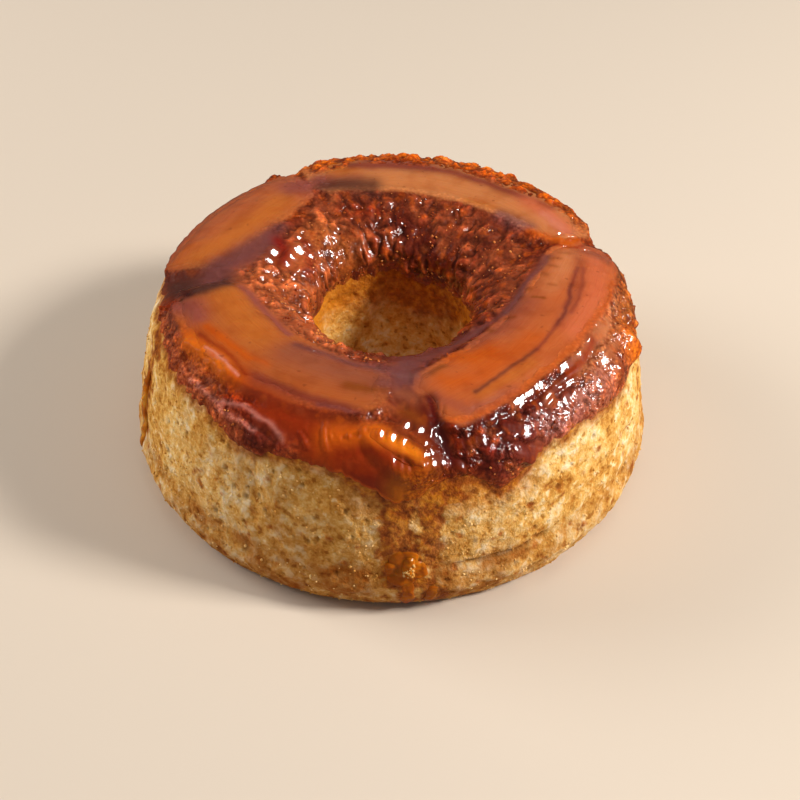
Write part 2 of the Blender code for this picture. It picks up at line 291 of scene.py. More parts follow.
def skirt_height(angle):
    return np.interp(turn(angle), RING, skirt_heights)


def hole_edge_height(angle):
    return np.interp(turn(angle), RING, hole_edge_heights)


print("skirt edge:", skirt_height(np.array([-180.0, -90.0, 0.0, 90.0])).round(1), "mm high")

# %% [markdown]
# A baker reads this cake by its colours: amber where the syrup is thin, garnet where it is
# thick, and smoky purple in the pools, dark syrup under a painted grey sheen. So the colours
# are painted like a glaze, in strokes on the plan of the cake. A stroke has a shade, a
# strength, a half width and a path. The plan is warped a little by noise first, so that no
# stroke has a ruled edge.

# %% Shades and the brush
SHADES = {
    "flesh": (192, 116, 66),
    "apricot": (170, 86, 38),
    "blush": (184, 92, 44),
    "coral": (196, 98, 60),
    "pale": (200, 120, 74),
    "honey": (186, 101, 36),
    "gold": (250, 140, 16),
    "amber": (190, 80, 4),
    "tangerine": (188, 88, 22),
    "rosewood": (148, 78, 50),
    "rose": (156, 76, 50),
    # Mauve: the glaze's pinkish colour, partly a painted grey sheen
    "mauve_sheen": (144, 72, 60),
    "plum": (128, 52, 38),
    # Purple-grey: dark syrup with a painted grey sheen over it
    "purple_sheen": (112, 60, 56),
    # Slate grey: dark glaze with a painted grey sheen
    "slate_sheen": (122, 74, 70),
    "smoke": (76, 40, 32),
    "ember": (58, 8, 4),
    "maroon": (84, 14, 6),
    "garnet": (140, 40, 4),
    "ruby": (124, 8, 2),
    "russet": (110, 38, 16),
    "brick": (176, 90, 50),
    "sienna": (184, 108, 66),
    "copper": (194, 100, 52),
    "toffee": (132, 62, 10),
    "seam": (88, 42, 36),
    # Pale pink: a painted highlight and sheen, laid where the glaze should shine
    "painted_sheen": (206, 136, 122),
    "marigold": (222, 112, 22),
    "syrup": (172, 88, 4),
    "umber": (168, 84, 26),
}


def linear(screen_color):
    """The linear colour that shows as a screen colour of three numbers up to 255."""
    value = np.array(screen_color) / 255
    return np.where(value <= 0.04045, value / 12.92, ((value + 0.055) / 1.055) ** 2.4)


def shade(name):
    return linear(SHADES[name])


def gap_to_path(plan, path):
    """Distance from each point of the plan to a path of straight pieces."""
    nearest = np.full(len(plan), 1e9)
    for start, end in zip(path[:-1], path[1:]):
        start, along = np.array(start), np.subtract(end, start)
        t = np.clip(((plan - start) @ along) / (along @ along), 0, 1)
        nearest = np.minimum(nearest, np.linalg.norm(plan - start - t[:, None] * along, axis=1))
    return nearest


def warped_plan(points, amount=1.0):
    wide = np.column_stack([lumps(points, 7.0, seed) for seed in (11, 12)])
    fine = np.column_stack([lumps(points, 2.2, seed) for seed in (13, 14)])
    return points[:, :2] + amount * (1.6 * wide + 0.6 * fine)


def brush(color, name, mask):
    return color + (shade(name) - color) * np.clip(mask, 0, 1)[:, None]


def paint(color, plan, strokes):
    """Lays strokes of (shade, strength, half width, path) over a colour for each point."""
    for name, strength, half, path in strokes:
        mask = strength * bell(gap_to_path(plan, path), half)
        color = brush(color, name, mask)
    return color


# %% [markdown]
# A turned piece starts as a closed ring of points, which spin carries round the axis. Spin is
# slow when it takes hundreds of steps, so it takes sixty, and the edges that run round the
# ring are then cut. Each point keeps the number of its row, so that numpy can move all the
# vertices at once afterwards. Blender may cut the edges in a new order each time, so the
# vertices and faces are sorted by row and step, and every run gives the same mesh. The angles
# are drawn together at the front, which is seen most.

# %% Helper: a profile spun into a ring
SPIN_STEPS = 60
FRONT_CROWDING = 14.0


def mesh_from(bm, name):
    """A mesh with the shape of a bmesh, which is then let go."""
    mesh = bpy.data.meshes.new(name)
    bm.to_mesh(mesh)
    bm.free()
    return mesh


def spun_ring(name, row_count, cuts):
    """A closed ring with row_count points in its section, and each vertex's row and angle."""
    bm = bmesh.new()
    row_layer = bm.verts.layers.float.new("row")
    section = []
    for row in range(row_count):
        a = 2 * math.pi * row / row_count
        vertex = bm.verts.new((2.0 + math.cos(a), 0.0, math.sin(a)))
        vertex[row_layer] = row
        section.append(vertex)
    edges = [bm.edges.new((section[i], section[i - 1])) for i in range(row_count)]
    bmesh.ops.spin(
        bm, geom=section + edges, cent=(0, 0, 0), axis=(0, 0, 1), angle=2 * math.pi,
        steps=SPIN_STEPS, use_merge=True,
    )
    round_edges = [e for e in bm.edges if e.verts[0][row_layer] == e.verts[1][row_layer]]
    bmesh.ops.subdivide_edges(bm, edges=round_edges, cuts=cuts, use_grid_fill=True)
    bmesh.ops.recalc_face_normals(bm, faces=bm.faces[:])
    steps_round = SPIN_STEPS * (cuts + 1)

    def number(vertex):
        step = round(math.atan2(vertex.co.y, vertex.co.x) * steps_round / (2 * math.pi))
        return round(vertex[row_layer]) * steps_round + step % steps_round

    def face_number(face):
        corners = [vertex.index for vertex in face.verts]
        return max(corners) * len(bm.verts) + min(corners)

    bm.verts.sort(key=number)
    bm.verts.index_update()
    bm.faces.sort(key=face_number)
    mesh = mesh_from(bm, name)
    mesh.attributes.remove(mesh.attributes["row"])
    rows, steps_taken = np.divmod(np.arange(row_count * steps_round), steps_round)
    a = steps_taken * 2 * math.pi / steps_round
    return mesh, rows, turn(np.degrees(a) - FRONT_CROWDING * np.cos(a))


def set_places(mesh, points_mm):
    mesh.vertices.foreach_set("co", (np.asarray(points_mm) * MM).ravel())
    mesh.update()


def add_values(mesh, name, values):
    """Stores one number for each vertex, which the materials read as an attribute."""
    layer = mesh.attributes.new(name, "FLOAT", "POINT")
    layer.data.foreach_set("value", np.asarray(values, np.float32))


def add_colors(mesh, name, colors):
    layer = mesh.attributes.new(name, "FLOAT_COLOR", "POINT")
    with_alpha = np.column_stack([np.clip(colors, 0, 1), np.ones(len(colors))])
    layer.data.foreach_set("color", with_alpha.astype(np.float32).ravel())


def new_piece(mesh):
    piece = in_scene(mesh.name, mesh)
    mesh.shade_smooth()
    triangles = sum(len(face.vertices) - 2 for face in mesh.polygons)
    print(f"{mesh.name}: {triangles} triangles")
    return piece


# %% [markdown]
# The crumb is a golden, open sponge with a slightly crusty skin. Its relief comes in three
# sizes: slow lumps from the tin, a granular surface, and scattered pores. The crust split at
# the front right and stands off in a low ledge. Syrup ran down it in a few places. There the
# crumb is stained, and the vertex gets a value called wet.

# %% Where syrup soaked in
# Each run of syrup: angle, half width in degrees, top and foot heights, strength
STAINS = [
    (-88.4, 3.0, 54.0, 26.0, 1.0),
    (-87.4, 4.6, 30.0, 13.0, 1.0),
    (-86.6, 2.2, 16.0, -4.0, 1.0),
    (-81.0, 2.2, 56.0, 22.0, 0.9),
    (-81.0, 2.2, 12.0, -4.0, 0.9),
    (-79.0, 6.0, 58.0, 46.0, 0.9),
    (-165.0, 3.0, 58.0, 20.0, 1.0),
    (60.0, 2.6, 56.0, 28.0, 0.9),
    (118.0, 2.4, 56.0, 36.0, 0.9),
    (-8.0, 2.5, 56.0, 40.0, 0.4),
]


def stain(flat, angle, height):
    """How much syrup soaked into the crumb at each place, from 0 to 1."""
    cover = np.zeros_like(angle)
    ragged = 0.5 * rough(flat, 4.5, 3, 41)
    for centre, width, top, foot, strength in STAINS:
        across = bell(turn(angle - centre + 1.2 * lumps(flat, 12.0, 42)), width)
        along = smooth((top + 4 - height) / 4.0) * smooth((height - foot + 2.0) / 4.0)
        soak = smooth((across * along + ragged * along - 0.18) / 0.3)
        cover = np.maximum(cover, strength * soak)
    return cover


print("runs of syrup:", len(STAINS))

# %% Crumb shape
CRUMB_RELIEF, CRUMB_LUMP = 0.6, 9.0
LIP_RELIEF, LIP_HEIGHT = 0.8, 20.0
PORE_SPACING = 3.4
CRACK_HEIGHT, CRACK_ANGLE = 20.5, -66
NICK_HEIGHT, NICK_ANGLE = 33, -24
CRUMB_CUTS = 9
COVERED_FROM, COVERED_TO = side_length(64.0), hole_length(52.0)
# Each band of rows: its first and last length on the profile, and the gap between rows
CRUMB_BANDS = [
    (0.0, COVERED_FROM, 0.74),
    (COVERED_FROM, COVERED_TO, 3.5),
    (COVERED_TO, HOLE_FOOT_LENGTH + 2, 1.3),
    (HOLE_FOOT_LENGTH + 4, walked[-1] - 1, 7.0),
]
crumb_rows = np.concatenate([np.arange(*band) for band in CRUMB_BANDS])
mesh, rows, angles = spun_ring("crumb", len(crumb_rows), CRUMB_CUTS)
length = crumb_rows[rows]
flat = on_cake(length, 0.0, angles)
height = flat[:, 2]
on_side = length < CREST_LENGTH
below_skirt = side_length(skirt_height(angles)) - length
below_hole_edge = length - hole_length(hole_edge_height(angles))
below_hole_edge = np.where(length < HOLE_FOOT_LENGTH - 1, below_hole_edge, -1)
shown = smooth((below_skirt - 0.5) / 2.5) + smooth((below_hole_edge - 0.5) / 2.5)
shown = shown * smooth(height / 5.0)
pore_gap, pore_number = seeds(flat * (1, 1, 0.8), PORE_SPACING, 2)
pits = smooth(1.3 - pore_gap / (0.3 + 0.9 * pore_number**3))
crack_line = height - CRACK_HEIGHT + 1.2 * lumps(flat, 12, 31)
crack = bell(crack_line, 0.7) * arc(angles, CRACK_ANGLE, 14, 5)
nick_line = height - NICK_HEIGHT + 0.3 * turn(angles - NICK_ANGLE)
crack += bell(nick_line, 0.6) * arc(angles, NICK_ANGLE, 4, 2)
ledge = 0.7 * smooth((CRACK_HEIGHT - height) / 3) * smooth((height - 9) / 4)
ledge *= arc(angles, CRACK_ANGLE, 18, 6)
relief = CRUMB_RELIEF * rough(flat, CRUMB_LUMP, 2, 1)
relief += LIP_RELIEF * bell(height - LIP_HEIGHT, 6.0) * lumps(flat, 14.0, 4) * on_side
relief += 0.34 * rough(flat, 3.6, 2, 6) - 0.7 * pits - 1.0 * crack + ledge - 0.3
set_places(mesh, on_cake(length, relief * shown, angles))

# %% Crumb stains, toasting, and painted shade and light
FRONT_RUN_ANGLE, SHADED_FRONT_ANGLE = -78, -100
cover = stain(flat, angles, height) * on_side
soaked_depth = 7.0 * bell(turn(angles - 80), 55)
edge_gap = np.where(on_side, below_skirt, (below_hole_edge - soaked_depth) * 0.55)
edge_gap += 1.2 * rough(flat, 4.0, 2, 9)
halo = bell(np.maximum(edge_gap, 0), np.where(on_side, 2.6, 5.0))
front = arc(angles, FRONT_RUN_ANGLE, 26, 8) * smooth((height - 38) / 8)
crumb_angles = angles
crumb_wet = np.maximum(cover, np.where(on_side, 0.85, 1.1) * halo)
crumb_wet = np.clip(crumb_wet + 0.5 * front * on_side, 0, 1)
add_values(mesh, "wet", crumb_wet)
# Pores and the crack, which the material paints darker as shade
add_values(mesh, "pore_shade", np.clip(pits + crack, 0, 1))
band = 0.6 * bell(height - 18 - 2 * lumps(flat, 20, 17), 4.5)
# The lip is browner all round, partly browning and partly painted shade, darkest at the front
lip_toast_and_shade = 0.45 + 0.55 * arc(angles, SHADED_FRONT_ANGLE, 48, 24)
band += lip_toast_and_shade * smooth((17 - height + 3 * lumps(flat, 16, 18)) / 7)
# Painted shade: the whole front side of the crumb is darker
band += 0.4 * arc(angles, SHADED_FRONT_ANGLE, 50, 24)
add_values(mesh, "toast_and_front_shade", np.clip(band * on_side, 0, 1))
# Painted light: the crumb in the hole is lighter, most on the left and front right, where lamps shine in
lit = np.clip(0.1 + bell(turn(angles - 180), 50) + 0.6 * bell(turn(angles + 15), 30), 0, 1)
add_values(mesh, "inside", smooth((length - CREST_LENGTH) / 10) * lit)
crumb = new_piece(mesh)

# %% [markdown]
# The slices of banana come before the caramel, because the caramel has to lie flush against
# them. Each slice follows a bent centreline on the plan. slice_depth tells how far inside a
# slice's outline a point lies. The caramel is pressed down inside the outline and rises to
# the slice's own level just outside it, and its ragged surface then laps over the edge.

# %% Where the slices lie
# Each slice: bend centre, bend radius, first and last angle, half width, how high its top
# stands off the crumb, and how much it narrows towards its first and last end
SLICES = {
    "banana_slice_back": ((-5.2, -21.8), 86.5, 108.5, 35.0, 12.5, 4.5, 0.10, 0.25),
    "banana_slice_right": ((-46.9, 37.3), 116.6, -6.5, -60.5, 14.0, 4.3, 0.30, 0.15),
    "banana_slice_front": ((10.9, 19.3), 79.6, -98.5, -163.0, 14.0, 4.0, 0.40, 0.20),
    "banana_slice_left": ((27.3, -20.0), 100.5, 165.0, 128.0, 13.5, 3.8, 0.15, 0.25),
    "banana_piece_front": ((28.1, -4.0), 79.0, -101.2, -116.6, 3.4, 4.5, 0.70, 0.70),
}


def end_factor(u, first_narrow, last_narrow):
    narrow = np.where(u < 0, first_narrow, last_narrow)
    return (1 - narrow * np.abs(u) ** 3) * (1 - 0.35 * smooth((np.abs(u) - 0.86) / 0.14) ** 2)


def slice_depth(plan, shape):
    """Distance in mm from each point of the plan to a slice's outline, negative outside it."""
    centre, bend, first, last, half_width, _, first_narrow, last_narrow = shape
    radius, angle = polar(plan - centre)
    half_turn = (last - first) / 2
    u = np.clip(turn(angle - (first + last) / 2) / half_turn, -1.4, 1.4)
    width = half_width * end_factor(u, first_narrow, last_narrow)
    to_side = width - np.abs(radius - bend)
    to_end = (1 - np.abs(u)) * math.radians(abs(half_turn)) * bend
    return np.minimum(to_side, to_end)


# %% [markdown]
# One function paints everything on top, so that a slice and the caramel beside it carry the
# same colours across their border: first granular caramel, then the flesh of each slice, then
# the pools and the red glass that ran over both.

# %% Strokes on the fruit
# Purple-grey and pinkish-grey marks here are partly the glaze's colour, partly painted sheen
FLESH_STROKES = {
    "banana_slice_back": [
        ("honey", 0.95, 8.0, [(-24, 80), (-23, 70), (-20, 64)]),
        # Mauve marks on the back slice: partly its own colour, partly painted sheen
        ("mauve_sheen", 0.5, 4.0, [(-26, 58), (-14, 58)]),
        ("mauve_sheen", 0.9, 5.5, [(-8, 72), (4, 71), (12, 69.5)]),
        ("plum", 0.9, 2.8, [(-16, 67), (4, 67), (18, 64.5), (28, 60.5), (38, 55), (48, 48), (57, 43)]),
        ("coral", 0.9, 4.0, [(50, 45), (57, 39), (63, 32)]),
        # Painted highlight on the glossy beads at the slice's right end
        ("painted_sheen", 0.3, 3.0, [(56, 38), (63, 31)]),
        ("smoke", 0.75, 3.9, [(-27, 54), (-19, 55.5), (-8, 55)]),
        ("honey", 0.6, 1.3, [(27, 46.5), (36, 43), (46, 36)]),
    ],
    "banana_slice_left": [
        ("honey", 0.85, 6.5, [(-69, 12), (-61, 19), (-53, 30), (-46, 38), (-41, 46)]),
        ("tangerine", 0.5, 4.0, [(-78, 12), (-73, 20)]),
        # Mauve marks on the left slice: partly its own colour, partly painted sheen
        ("mauve_sheen", 0.6, 3.5, [(-81, 18), (-76, 34)]),
        ("mauve_sheen", 0.9, 6.0, [(-38, 54), (-28, 57)]),
        # Purple-grey along the inner border: dark glaze with painted sheen
        ("purple_sheen", 0.9, 3.6, [(-62, 5), (-55, 14), (-48, 22), (-42, 29)]),
        ("smoke", 0.9, 3.6, [(-80, 3), (-68, 3.5), (-60, 3)]),
    ],
    "banana_slice_front": [
        ("honey", 0.95, 7.0, [(-58, -10), (-52, -22), (-44, -33)]),
        # Mauve on the front slice: partly its own colour, partly painted sheen
        ("mauve_sheen", 0.95, 4.5, [(-75, -13), (-68, -16), (-66, -22)]),
        ("tangerine", 0.7, 3.0, [(-72, -24), (-66, -33), (-57, -43)]),
        ("amber", 0.9, 1.7, [(-62, -27), (-57, -33), (-53, -38), (-47, -44), (-41, -48)]),
        ("rosewood", 1.0, 7.0, [(-33, -42), (-22, -48), (-6, -56)]),
        # Mauve line: partly the glaze's colour, partly painted sheen
        ("mauve_sheen", 0.6, 2.4, [(-28, -38.5), (-18, -43.5), (-8, -48.5), (0, -51)]),
        ("plum", 0.9, 2.8, [(-46, -51), (-37, -56), (-28, -61), (-20, -65), (-8, -69.5)]),
        ("apricot", 0.95, 1.7, [(-45, -47), (-36, -53), (-28, -58), (-19, -62), (-9, -65.5), (1, -70)]),
        # Purple-grey line: dark glaze with painted sheen
        ("purple_sheen", 0.8, 0.8, [(-23, -65), (-15, -67.5), (-7, -70.5)]),
        ("toffee", 0.85, 2.2, [(-14, -57.5), (-7, -59.5), (-1, -58.5)]),
        ("garnet", 1.0, 4.0, [(-56, -51), (-43, -60), (-32, -67), (-18, -73)]),
        # Purple-grey: dark glaze with painted sheen
        ("purple_sheen", 0.7, 2.0, [(-3, -55.5), (3, -57.5)]),
        ("seam", 0.9, 0.8, [(-0.5, -61), (0.5, -64), (4, -66.5)]),
        ("smoke", 0.9, 3.0, [(-78, -9), (-68, -7), (-58, -3)]),
        ("maroon", 0.7, 1.4, [(-4, -72), (4, -70), (11, -68)]),
    ],
    "banana_slice_right": [
        ("pale", 0.8, 4.0, [(63, 16), (60, 4), (55, -6)]),
        ("rose", 0.9, 6.0, [(47, -14), (38, -27), (30, -33)]),
        ("coral", 0.9, 4.5, [(72, 14), (71, -2), (67, -16), (61, -28)]),
        # Mauve on the right slice: partly its own colour, partly painted sheen
        ("mauve_sheen", 0.5, 5.0, [(70, 21), (77, 18)]),
        ("amber", 0.9, 5.0, [(22, -42), (28, -44), (33, -41)]),
        ("amber", 0.7, 3.6, [(17, -55), (20, -57), (24, -55)]),
        ("toffee", 0.8, 1.8, [(13.5, -51.5), (17, -48)]),
        ("honey", 0.7, 2.4, [(29, -61), (38, -53), (46, -46)]),
        # Mauve strip: partly the glaze's colour, partly painted sheen
        ("mauve_sheen", 0.5, 2.2, [(14, -62), (24, -67), (33, -63), (40, -58)]),
        ("plum", 0.4, 2.2, [(66, 12), (65.5, 0), (62.5, -12), (57, -26)]),
        ("amber", 0.6, 4.0, [(30, -52), (40, -42), (48, -33)]),
        ("seam", 0.75, 0.8, [(27, -60), (32, -55.5), (38, -49.5), (43, -45), (48, -39.5)]),
        ("plum", 0.8, 0.8, [
            (48, -39.5), (52, -34), (56, -27), (59, -20), (61, -12), (62.5, -4), (65, 6),
        ]),
        ("seam", 0.45, 0.6, [(56, -27), (59, -20), (61, -12), (62.5, -4)]),
        ("plum", 0.6, 0.8, [(61, -20), (64, -12), (66, -4), (67, 6)]),
        ("toffee", 0.4, 0.9, [(60, 16), (63, 15.6)]),
        ("toffee", 0.5, 0.9, [(57, 13), (59.5, 12)]),
        ("toffee", 0.5, 0.9, [(55.5, 8), (58, 6.5)]),
        ("toffee", 0.5, 0.8, [(53.5, 3.5), (55, 1.5)]),
        ("toffee", 0.5, 0.9, [(47, -4.5), (49, -6)]),
        ("toffee", 0.9, 0.7, [(49.5, -10.5), (53, -12.5)]),
        ("toffee", 0.4, 0.8, [(55, -4.5), (57, -5)]),
        ("toffee", 0.7, 0.9, [(40, -21.5), (43, -22)]),
        ("toffee", 0.7, 1.1, [(33, -24), (35, -28)]),
        ("toffee", 0.7, 1.1, [(27, -28.5), (29.5, -32)]),
        ("toffee", 0.7, 0.9, [(22, -33), (24, -37)]),
        ("amber", 0.45, 1.3, [
            (76.5, 2), (74, -9), (69, -20), (62, -32), (53, -45), (40, -59), (26, -69), (17, -71),
        ]),
    ],
    "banana_piece_front": [
        ("amber", 0.8, 3.0, [(-9, -78), (8, -80)]),
    ],
}
FLESH_BASE = {
    "banana_slice_left": "brick",
    "banana_slice_front": "apricot",
    "banana_slice_right": "blush",
    "banana_piece_front": "tangerine",
}

# %% Strokes on the caramel
# The caramel's ground colours, before the slices and pools are painted over them. The copper
# on the left of the hole and the pale pink on the right rim are painted light.
GROUND_STROKES = [
    ("brick", 1.0, 15, [(-52, -4), (-40, -20), (-28, -34)]),
    ("brick", 0.7, 8, [(-40, 6), (-34, 18)]),
    ("brick", 0.9, 6, [(-84, -8), (-77, -30), (-66, -48), (-54, -62)]),
    ("rose", 0.6, 3.5, [(-80, -20), (-73, -37), (-64, -52), (-56, -62)]),
    ("plum", 0.7, 5, [(-50, -67), (-40, -74), (-28, -80)]),
    ("sienna", 1.0, 6, [(76, -8), (71, -28), (64, -42)]),
    ("honey", 0.9, 5, [(84, 16), (84, 0), (82, -14)]),
    ("copper", 0.7, 4, [(84, -22), (76, -38), (66, -54)]),
    ("maroon", 0.7, 6, [(24, -78), (36, -71), (48, -62)]),
    ("plum", 0.6, 4, [(36, -76), (46, -69), (54, -60)]),
    # Painted sheen: pale pink highlights over the lumps of the right rim
    ("painted_sheen", 0.45, 3.6, [(50, -66), (57, -61), (65, -52), (71, -41)]),
    ("amber", 0.9, 4, [(85, -16), (82, -24)]),
    ("amber", 0.95, 7, [(-44, 60), (-28, 72), (0, 78), (36, 69), (56, 55), (74, 34)]),
    ("marigold", 0.4, 4, [(-34, 68), (0, 79), (36, 70), (58, 54), (76, 34)]),
    # Painted light: lighter copper on the left of the hole's wall, which faces the lamp
    ("copper", 0.6, 9, [(-24, 30), (-33, 12), (-38, -4)]),
    ("brick", 0.35, 14, [(-20, 44), (10, 40), (34, 26), (40, 0)]),
    ("maroon", 0.8, 6, [(2, 41), (11, 33), (20, 25)]),
    ("honey", 0.45, 6, [(-27, 30), (-18, 27)]),
    ("garnet", 0.7, 3, [(-18, 43), (-6, 43)]),
]

# What ran over the caramel and the fruit alike, painted last, with painted sheen and highlights
SHEET_STROKES = [
    ("smoke", 0.95, 6, [(-80, 0), (-68, -3), (-60, -1)]),
    ("smoke", 0.8, 3.5, [(-74, 0), (-62, 1)]),
    ("marigold", 0.95, 4.0, [(82, -18), (81, -24)]),
    ("smoke", 0.6, 3, [(-70, -8), (-66, -8)]),
    ("garnet", 0.9, 2.6, [(-80, -8), (-76, -10.5)]),
    ("ember", 0.8, 1.6, [(-72, -6), (-70, -9)]),
    # Purple-grey pools: dark syrup with a painted grey sheen
    ("purple_sheen", 0.95, 4.2, [(-64, 2), (-57, 8), (-51, 15), (-45, 23)]),
    ("purple_sheen", 0.8, 2.4, [(-46, 24), (-41, 31)]),
    # Mauve over the left slice's end: partly the glaze's colour, partly painted sheen
    ("mauve_sheen", 0.9, 4.0, [(-34, 54), (-27, 57)]),
    ("smoke", 0.6, 3.9, [(-26, 54), (-20, 54), (-8, 51)]),
    # Painted grey sheen on the glaze inside the back slice's border
    ("slate_sheen", 0.85, 2.6, [(40, 38), (45, 34.5), (50, 31)]),
    # Purple-grey pools between the front and right slices: dark syrup with painted sheen
    ("purple_sheen", 1.0, 6.5, [(4, -54), (5, -44), (6, -28)]),
    ("purple_sheen", 1.0, 4.0, [(12, -38), (20, -31), (28, -25)]),
    ("purple_sheen", 0.95, 2.0, [(28, -25), (36, -20), (42, -14), (45, -8)]),
    ("purple_sheen", 0.9, 1.5, [(45, -8), (48, -1), (52, 6), (56, 15)]),
    # Painted whitish sheen on the pool
    ("slate_sheen", 0.6, 1.6, [(-8, -47), (2, -51), (8, -52)]),
    # Painted sheen: a pinkish line along the front slice's inner border
    ("mauve_sheen", 0.95, 1.4, [(-53, -5), (-48, -12), (-44, -18.5), (-40, -24), (-35, -30)]),
    # Purple-grey: dark syrup with painted sheen
    ("purple_sheen", 0.8, 2.2, [(-32, -37), (-22, -41), (-10, -46.5), (0, -48)]),
    ("ruby", 0.8, 2.4, [(-40, 13), (-40, 19), (-42, 24)]),
    ("ruby", 0.6, 2.0, [(-33, 12), (-31, 20), (-33, 26)]),
    ("garnet", 1.0, 4.5, [(-52, -58), (-40, -65), (-28, -71), (-18, -77)]),
    ("amber", 0.9, 4.4, [(-68, -31), (-61, -39), (-54, -47), (-50, -51)]),
    ("marigold", 0.5, 2.8, [(-68, -32), (-61, -40), (-54, -48)]),
    ("garnet", 0.7, 0.9, [(-64, -30), (-57, -38), (-51, -45), (-47, -51)]),
    # Painted highlights: pale pink lines along the lens and the ridges at the left front
    ("painted_sheen", 0.6, 0.6, [(-61, -37.3), (-56.8, -42), (-52.5, -47.3), (-49.5, -51)]),
    ("painted_sheen", 0.45, 0.7, [(-53.7, -58.6), (-47.3, -61.7), (-42.5, -65.4), (-37.4, -69.7), (-33.5, -74)]),
    ("painted_sheen", 0.35, 0.7, [(-56, -60), (-51.9, -62.4), (-46.9, -66.3), (-42.9, -69.4)]),
    ("painted_sheen", 0.4, 0.8, [(-66, -46), (-60, -53), (-54, -60)]),
    ("garnet", 0.9, 6.0, [(-26, -80), (-14, -84), (-4, -86)]),
    ("amber", 1.0, 4.0, [(-20, -75), (-10, -75.5), (-2, -77), (8, -81)]),
    ("russet", 0.85, 2.4, [(0, -70.5), (5, -72.5), (10, -74.5), (14, -79)]),
    ("marigold", 0.4, 2.8, [(-6, -75.4), (0, -77.4), (9, -81)]),
    ("gold", 0.75, 1.4, [(-1, -77), (3, -78.8), (8, -80.8)]),
    ("russet", 0.8, 1.3, [(1, -74.6), (6, -76.6), (12, -80), (15, -82)]),
    ("garnet", 0.9, 1.5, [(-16, -80), (-5, -80), (2, -82.3), (8, -84)]),
    ("syrup", 0.9, 3.6, [(4, -88), (14, -87)]),
    ("rosewood", 0.8, 3.0, [(3, -60), (8, -63)]),
    ("toffee", 0.6, 2.4, [(4, -68), (9, -71)]),
    ("maroon", 1.0, 2.6, [(12, -63), (14, -70), (16, -77), (19, -81)]),
    ("ember", 0.9, 1.6, [(14.5, -72), (17.5, -79)]),
    ("garnet", 0.8, 1.4, [(19, -73), (21, -77)]),
    ("amber", 0.9, 1.8, [(50, 29), (57, 26), (63, 23.5), (67, 27)]),
    ("garnet", 0.7, 0.8, [(58, 22.5), (64, 21.3), (68, 23)]),
    ("garnet", 0.8, 1.6, [(67, -31), (63, -40), (58, -47)]),
]
print("strokes on the caramel:", len(GROUND_STROKES) + len(SHEET_STROKES))


# %% Colours of the top
def top_color(points, plan, own_slice=None, crags=None):
    """The glaze's colour at points on top of the cake, of one slice or of the caramel."""
    color = np.tile(shade("russet"), (len(points), 1))
    band = rim_band(*polar(points))
    if crags is not None:
        color = paint(color, plan, GROUND_STROKES)
        patches = rough(points, 7.0, 2, 51)
        color = brush(color, "maroon", 0.4 * smooth((patches - 0.1) / 0.5))
        color = brush(color, "copper", 0.4 * smooth((-patches - 0.15) / 0.5))
        # Darker in the creases, lighter on the lumps' tops: thicker and thinner syrup, and painted shade
        # and light
        color = brush(color, "ember", 0.5 * smooth((0.05 - crags) / 0.5))
        color = brush(color, "amber", 0.35 * smooth((lumps(points, 3.0, 55) - 0.25) / 0.3))
        color = color * (1 + 0.6 * smooth((crags - 0.15) / 0.5))[:, None]
    for name, shape in SLICES.items():
        if own_slice is None:
            mask = smooth((slice_depth(plan, shape) + 1.2) / 1.8) * (1 - band)
        else:
            mask = np.full(len(points), float(name == own_slice))
        if not mask.any():
            continue
        flesh = np.tile(shade(FLESH_BASE.get(name, "flesh")), (len(points), 1))
        flesh = paint(flesh, plan, FLESH_STROKES[name])
        color += (flesh - color) * mask[:, None]
    color = paint(color, plan, SHEET_STROKES)
    # Again over the fruit's edges: creases darker and tops lighter, partly painted shade and light
    if crags is not None:
        color = color * (1 + 0.45 * np.clip(crags, -0.8, 0.7))[:, None]
    return color


# %% [markdown]
# The caramel is a sheet of boiled sugar that set against the tin. It is thick on top, thins
# out towards both of its edges, and is craggy where sugar grains caught in it, but glassy
# where it pooled beside the fruit. The sheet is a spun ring again, with many rows on its
# outer face and few underneath, where nobody sees it. Named patches say where it is glassy.

# %% Where the caramel pooled
CARAMEL_TOP, CARAMEL_EDGE = 3.4, 0.9
SKIRT_REACH, HOLE_REACH = 9.0, 6.0
CRAG_RELIEF, CRAG_SIZE = 1.3, 8.0
# Each hollow or lump: angle, radius, its own radius, rise
CARAMEL_SPOTS = [
    (116.5, 80, 5.5, -4.0), (25, 78, 6.0, -2.2), (-77, 79, 4.0, -1.5),
    (-86.5, 77, 6.0, 0.9), (183, 64, 11.0, -1.2),
    (166, 84, 2.2, 1.4), (158, 84, 2.6, 2.0), (147, 83, 2.8, 1.8), (138, 83, 2.4, 1.0),
    (124.5, 83, 3.4, 4.0), (111, 82.5, 3.2, 3.2), (104, 82, 2.2, 1.4), (97, 82, 2.4, 1.6),
    (92, 82, 3.0, 2.2), (85, 82, 2.4, 1.4), (77, 82, 3.2, 2.2), (72, 82, 2.0, 1.2),
    (67, 82, 2.8, 2.4), (61, 82, 2.2, 1.4), (56, 82, 3.6, 2.4), (48, 82.5, 3.2, 2.0),
    (43, 82.5, 2.0, 1.2), (37, 83, 2.6, 2.0), (31, 83, 2.2, 1.4),
]
TEETH_INWARD, TEETH_GROWTH = 2.6, 1.1
BLOB_ANGLE, BLOB_HEIGHT, BLOB_RADIUS, BLOB_RISE = -15, 56.0, 4.5, 3.2

